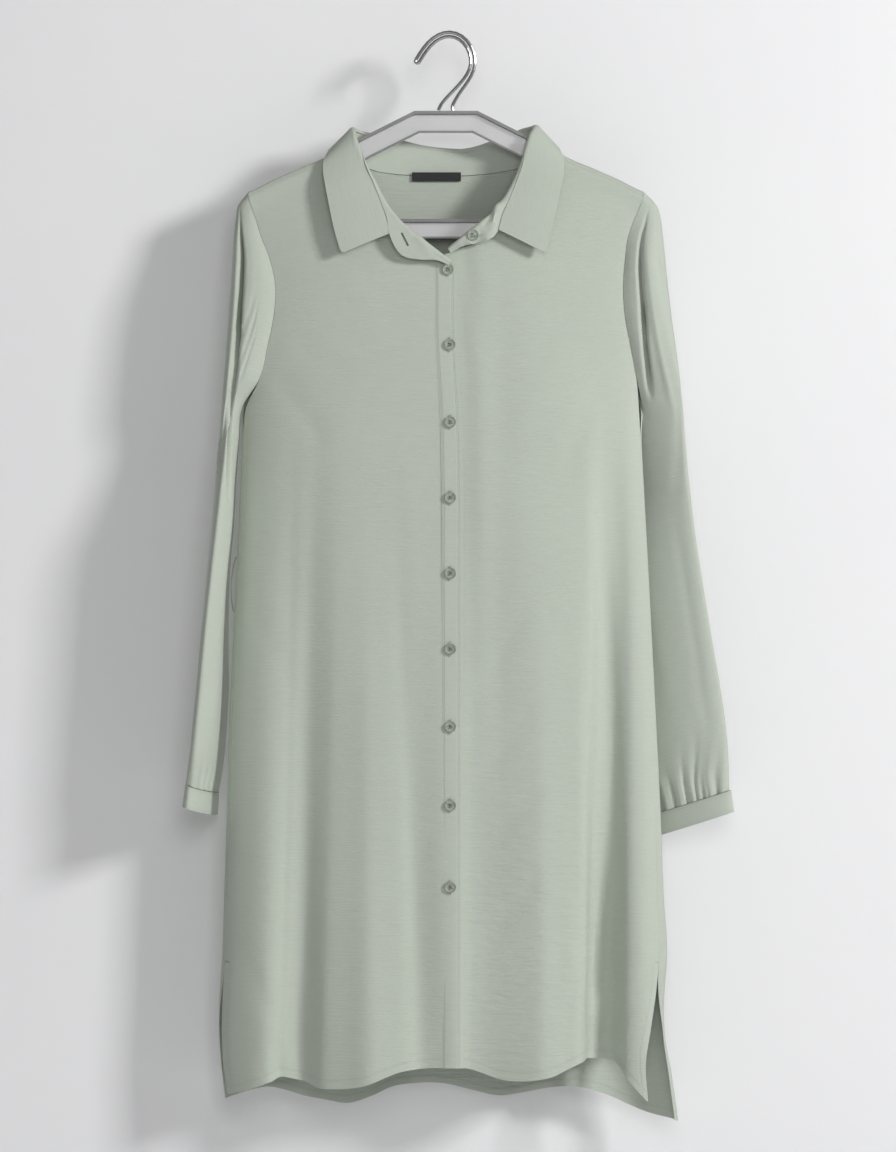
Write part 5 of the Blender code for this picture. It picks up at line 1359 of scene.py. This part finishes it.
class SHIRT_OT_sleeves(bpy.types.Operator):
    """Makes the sleeves and their cuffs"""

    bl_idname = "shirt.sleeves"
    bl_label = "Sleeves"

    def execute(self, context):
        for name, table, side, valley, creases, gathers in (
            ("right", RIGHT_SLEEVE, -1, RIGHT_VALLEY, RIGHT_SLEEVE_CREASES, RIGHT_GATHERS),
            ("left", LEFT_SLEEVE, 1, LEFT_VALLEY, LEFT_SLEEVE_CREASES, LEFT_GATHERS),
        ):
            grid = fine_grid(sleeve_grid(table, side, valley), *SLEEVE_STEPS)
            lie_back(grid, side)
            share = np.linspace(0.0, 100.0, grid.shape[1])[::side]
            place = np.tile(share, (len(grid), 1))
            levels = grid[:, :, 2]
            down = down_lengths(grid)
            height = (down[-1:] - down) / MM
            depth = ripple(place * SLEEVE_RIPPLE_SCALE, levels, 0.9) * SLEEVE_RIPPLE
            depth += crease_depth(creases, place, levels)
            depth *= rise_from(height, 0.0, CREASES_ABOVE_CUFF)
            depth += gather_depth(gathers + BEHIND, place, height)
            depth *= inside_edges(grid, SLEEVE_EDGE_COLUMNS)
            depth *= rise_from(-levels, -SLEEVE_CREASES_TOP, SLEEVE_CREASES_EASE)
            armpit = int(np.argmax(levels.max(axis=1) < ARMPIT_LEVEL - JOIN_BELOW_ARMPIT))
            cloth = Cloth(pressed(grid, depth), grid.shape[1] // 2, joined_from=armpit)
            cloth.sheet("sleeve_" + name, crepe_finish(), "hung", ["hanger_arms"])
            cuff = fine_grid(cuff_grid(table, side), *CUFF_STEPS)
            cuff = Cloth(cuff, cuff.shape[1] // 2, joined_from=0)
            cuff.line("a", cuff.down - EDGE_STITCH, cuff.across + LINE_START)
            cuff.line("b", cuff.down[-1:] - cuff.down - EDGE_STITCH, cuff.across + LINE_START)
            cuff.sheet("cuff_" + name, firm_finish(), "hung", ["sleeve_%s_cloth" % name],
                       CUFF_THICKNESS)
        return {"FINISHED"}


# Buttons and sewing

HOLE_RADIUS = 0.00062
HOLE_OFFSET = 0.0012
HOLE_BELOW = 0.15
# Width of each ring of the button's face, from its edge inwards, and how far the face sinks there
FACE_RINGS = ((0.0007, 0.0), (0.0006, 0.0006), (0.0018, 0.00015))
BACK_RING = 0.0008
EDGE_BEVEL = 0.00022
BUTTON_STAND_OFF = 0.35
COLLAR_BUTTON_STAND_OFF = 1.6
TILT_REACH = 5.0
# The upper buttons stand further to the wearer's right
UPPER_BUTTONS_LEVEL = -330.0
UPPER_BUTTONS_EASE = 100.0
LABEL_MOVE = (0.0, -0.0012, 0.0052)


def tube_mesh(name, paths, radius, sides=8):
    """Closed round threads along lists of points."""
    shape = bmesh.new()
    for path in paths:
        points = [Vector(place) for place in path]
        rings = []
        for k, place in enumerate(points):
            ahead = points[min(k + 1, len(points) - 1)] - points[max(k - 1, 0)]
            turn = ahead.to_track_quat("Z", "Y").to_matrix()
            ring = []
            for n in range(sides):
                angle = math.tau * n / sides
                out = turn @ Vector((math.cos(angle), math.sin(angle), 0.0))
                ring.append(shape.verts.new((place + out * radius) * MM))
            rings.append(ring)
        for low, high in zip(rings, rings[1:]):
            for n in range(sides):
                shape.faces.new((low[n - 1], low[n], high[n], high[n - 1]))
        shape.faces.new(rings[0][::-1])
        shape.faces.new(rings[-1])
    bmesh.ops.recalc_face_normals(shape, faces=shape.faces)
    mesh = bpy.data.meshes.new(name)
    shape.to_mesh(mesh)
    shape.free()
    mesh.shade_smooth()
    return mesh


def select_faces(mesh, side):
    """In edit mode, selects the faces that look up (1) or down (-1)."""
    shape = bmesh.from_edit_mesh(mesh)
    for face in shape.faces:
        face.select_set(face.normal.z * side > 0.9)
    shape.select_flush_mode()
    bmesh.update_edit_mesh(mesh)


def model_button():
    """One four-hole button lying at the origin with its face up, in metres."""
    bpy.ops.object.select_all(action="DESELECT")
    radius, height = BUTTON_RADIUS * MM, BUTTON_HEIGHT * MM
    bpy.ops.mesh.primitive_cylinder_add(vertices=40, radius=radius, depth=height, location=(0, 0, height / 2))
    button = bpy.context.object
    bpy.ops.object.mode_set(mode="EDIT")
    bpy.ops.mesh.select_mode(type="FACE")
    select_faces(button.data, 1)
    for width, sink in FACE_RINGS:
        bpy.ops.mesh.inset(thickness=width)
        bpy.ops.transform.translate(value=(0, 0, -sink))
    select_faces(button.data, -1)
    bpy.ops.mesh.inset(thickness=BACK_RING)
    bpy.ops.object.mode_set(mode="OBJECT")
    for x, y in ((-1, -1), (-1, 1), (1, -1), (1, 1)):
        bpy.ops.object.select_all(action="DESELECT")
        bpy.ops.mesh.primitive_cylinder_add(
            vertices=12, radius=HOLE_RADIUS, depth=0.01, location=(x * HOLE_OFFSET, y * HOLE_OFFSET, 0))
        drill = bpy.context.object
        cut = button.modifiers.new("Hole", "BOOLEAN")
        cut.operation, cut.object, cut.solver = "DIFFERENCE", drill, "EXACT"
        bpy.context.view_layer.objects.active = button
        bpy.ops.object.modifier_apply(modifier="Hole")
        bpy.data.objects.remove(drill)
    edge = button.modifiers.new("Edge", "BEVEL")
    edge.width, edge.segments = EDGE_BEVEL, 2
    edge.limit_method, edge.angle_limit = "ANGLE", math.radians(40)
    bpy.context.view_layer.objects.active = button
    bpy.ops.object.modifier_apply(modifier="Edge")
    button.data.shade_smooth()
    button.data.set_sharp_from_angle(angle=math.radians(50))
    return button


def button_thread():
    """Thread through the four holes."""
    top = BUTTON_HEIGHT - 0.45
    half = ((-1.2, 0.2), (-1.15, top), (-0.7, top + 0.34))
    arch = (*half, (0.0, top + 0.4), *((-x, z) for x, z in half[::-1]))
    return tube_mesh("button thread", [[(x, y, z) for x, z in arch] for y in (-1.2, 1.2)], 0.32)


def buttonhole_mesh(name, length, half_width, thread):
    """A worked buttonhole: a long ring of thread on the cloth, with its long side along Y."""
    ring = []
    for k in range(33):
        across, along = math.cos(math.tau * k / 32), math.sin(math.tau * k / 32)
        straight = (length / 2 - half_width) * math.copysign(min(1.0, abs(along) * 4), along)
        ring.append((half_width * across, half_width * along + straight, 0.1))
    return tube_mesh(name, [ring], thread)


def place_on(centre, facing, upward=(0.0, 0.0, 1.0)):
    """Transform that lays a flat piece at a centre in millimetres, its face outwards and its Y axis up."""
    out = Vector(facing).normalized()
    side = Vector(upward).cross(out).normalized()
    turn = Matrix((side, out.cross(side), out)).transposed().to_4x4()
    return Matrix.Translation(Vector(centre) * MM) @ turn


def button_places():
    """Name, centre and outward direction of each button's back, as in the solids."""
    out = SEAM_GAP * 2 + BAND_CLOTH + BUTTON_STAND_OFF
    for k, height in enumerate(BUTTON_HEIGHTS):
        levels = np.array((height, height + TILT_REACH, height - TILT_REACH))
        x = BUTTON_X * (1 - ease((height - UPPER_BUTTONS_LEVEL) / UPPER_BUTTONS_EASE))
        y = front_y(x, levels) + fold_offset(FRONT_DEEPENED, x, levels)
        facing = unit(np.array((0.0, -2 * TILT_REACH, y[1] - y[2])))
        yield "button_%d" % (k + 1), np.array((x, y[0] - out, height)), facing
    stand = collar_grids()[0]
    place = stand[5, -4]
    facing = unit(np.cross(stand[6, -4] - place, stand[5, -3] - place))
    facing = -facing if facing[1] > 0 else facing
    yield "collar_button", place + facing * COLLAR_BUTTON_STAND_OFF, facing


class SHIRT_OT_buttons(bpy.types.Operator):
    """Makes the sewn buttons and the worked buttonholes"""

    bl_idname = "shirt.buttons"
    bl_label = "Buttons"

    def execute(self, context):
        resin = shared("button resin", button_finish, tuple(settings().button_colour))
        master, sewn = model_button(), button_thread()
        hole = buttonhole_mesh("buttonhole", 13.6, 0.55, HOLE_THREAD)
        for name, centre, facing in button_places():
            for kind, model, lower, slot_name, finish in (
                ("_resin", master.data, 0.0, "button", resin),
                ("_thread", sewn, 0.0, "cloth", sewing_finish()),
                ("_hole", hole, HOLE_BELOW, "cloth",
                 shared("hole thread", thread_finish, settings().cloth_colour)),
            ):
                if name + kind == "collar_button_hole":
                    continue
                mesh = model.copy()
                mesh.name = name + kind
                mesh.transform(place_on(centre - facing * lower, facing))
                obj = add_piece(name + kind, mesh, slot_name, finish)
                if kind == "_resin":
                    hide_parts(name)
        bpy.data.objects.remove(master)
        return {"FINISHED"}


class SHIRT_OT_trims(bpy.types.Operator):
    """Finishes the neck label and the belt loop, and makes the bars at the tops of the slits"""

    bl_idname = "shirt.trims"
    bl_label = "Label, loop and bars"

    def execute(self, context):
        shape = bmesh.new()
        shape.from_mesh(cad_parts["neck_label"].data)
        bmesh.ops.remove_doubles(shape, verts=shape.verts, dist=1e-6)
        bmesh.ops.translate(shape, verts=shape.verts, vec=LABEL_MOVE)
        mesh = bpy.data.meshes.new("neck_tape")
        shape.to_mesh(mesh)
        shape.free()
        label = add_piece("neck_tape", mesh, "label", shared("black tape", tape_finish, (0.02, 0.021, 0.02)))
        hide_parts("neck_label")
        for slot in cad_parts["belt_loop"].material_slots:
            slot.material = sewing_finish()
        sides = SIDES.at(SLIT_TOP)
        for name, x in (
            ("slit_bar_right", sides.seam_right + np.arange(7)),
            ("slit_bar_left", sides.seam_left - np.arange(7)),
        ):
            bar = on_front(x, SLIT_TOP) + (0.0, -0.25, 0.8)
            add_piece(name, tube_mesh(name, [bar], 0.45), "cloth", sewing_finish())
        return {"FINISHED"}


class SHIRT_OT_hanger(bpy.types.Operator):
    """Finishes the hanger's arms and bar in satin silver and its hook in bright wire"""

    bl_idname = "shirt.hanger"
    bl_label = "Hanger"

    def execute(self, context):
        silver = shared("satin silver", silver_finish, tuple(settings().hanger_colour), 0.35, 0.4, "X", 1.0)
        wire = shared("bright wire", silver_finish, (0.42, 0.42, 0.42), 1.0, 0.24, "Z", 0.0)
        for node, finish in (("hanger_arms", silver), ("hanger_bar", silver), ("hanger_hook", wire)):
            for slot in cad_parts[node].material_slots:
                slot.material = finish
        return {"FINISHED"}


# Stage

VIEW_CENTRE_Z = -0.527
VIEW_HEIGHT = 1.129
WALL_Y = 0.07
WALL_TOP = 2.0
FLOOR_Z = -1.56
STAGE_HALF_WIDTH = 3.0
ROOM_COLOUR = (0.93, 0.93, 0.94, 1.0)


class SHIRT_OT_stage(bpy.types.Operator):
    """Makes the pale wall and floor, the soft lights and the camera"""

    bl_idname = "shirt.stage"
    bl_label = "Stage"

    def execute(self, context):
        scene, half = context.scene, STAGE_HALF_WIDTH
        for name, first, last in (
            ("wall", (WALL_Y, FLOOR_Z), (WALL_Y, WALL_TOP)),
            ("floor", (-half, FLOOR_Z), (half, FLOOR_Z)),
        ):
            mesh = bpy.data.meshes.new(name)
            corners = [(-half, *first), (half, *first), (half, *last), (-half, *last)]
            mesh.from_pydata(corners, [], [(0, 1, 2, 3)])
            mesh.materials.append(shared("pale wall", wall_finish))
            obj = bpy.data.objects.new(name, mesh)
            scene.collection.objects.link(obj)
            obj.visible_shadow = obj.visible_diffuse = name != "wall"
        for name, power, size, place in (
            ("key", settings().key_power, 0.7, (2.9, -2.3, 0.85)),
            ("fill", settings().fill_power, 1.4, (0.3, -4.2, 0.5)),
            ("back", settings().fill_power, 1.2, (-1.4, 3.2, 0.7)),
        ):
            lamp = bpy.data.lights.new(name, "AREA")
            lamp.energy, lamp.size = power, size
            light = bpy.data.objects.new(name, lamp)
            light.location = place
            aim = Vector((0.0, 0.0, VIEW_CENTRE_Z)) - light.location
            light.rotation_euler = aim.to_track_quat("-Z", "Y").to_euler()
            scene.collection.objects.link(light)
        scene.view_settings.view_transform = "Standard"
        scene.world = bpy.data.worlds.new("studio")
        scene.world.use_nodes = True
        background = scene.world.node_tree.nodes["Background"].inputs
        background[0].default_value = ROOM_COLOUR
        background[1].default_value = settings().room_light
        lens = bpy.data.cameras.new("camera")
        distance = settings().camera_distance
        lens.lens = lens.sensor_width * distance / VIEW_HEIGHT
        lens.clip_end = 50.0
        camera = bpy.data.objects.new("camera", lens)
        camera.location = (0.0, -distance, VIEW_CENTRE_Z)
        camera.rotation_euler = (math.pi / 2, 0.0, 0.0)
        scene.collection.objects.link(camera)
        scene.camera = camera
        return {"FINISHED"}


class SHIRT_PT_pieces(bpy.types.Panel):
    """Shows the shirt's settings and a button for each step"""

    bl_idname = "SHIRT_PT_pieces"
    bl_label = "Shirt"
    bl_space_type = "VIEW_3D"
    bl_region_type = "UI"
    bl_category = "Shirt"

    def draw(self, context):
        for name in ShirtSettings.__annotations__:
            self.layout.prop(context.scene.shirt_settings, name)
        for step in STEPS:
            self.layout.operator(step.bl_idname)


STEPS = (
    SHIRT_OT_fronts,
    SHIRT_OT_back,
    SHIRT_OT_collar,
    SHIRT_OT_sleeves,
    SHIRT_OT_buttons,
    SHIRT_OT_trims,
    SHIRT_OT_hanger,
    SHIRT_OT_stage,
)
CLASSES = (ShirtSettings, *STEPS, SHIRT_PT_pieces)


def register():
    for item in CLASSES:
        bpy.utils.register_class(item)
    bpy.types.Scene.shirt_settings = PointerProperty(type=ShirtSettings)


def unregister():
    del bpy.types.Scene.shirt_settings
    for item in reversed(CLASSES):
        bpy.utils.unregister_class(item)


def main():
    register()
    for step in STEPS:
        group, name = step.bl_idname.split(".")
        getattr(getattr(bpy.ops, group), name)()


if __name__ == "__main__":
    main()
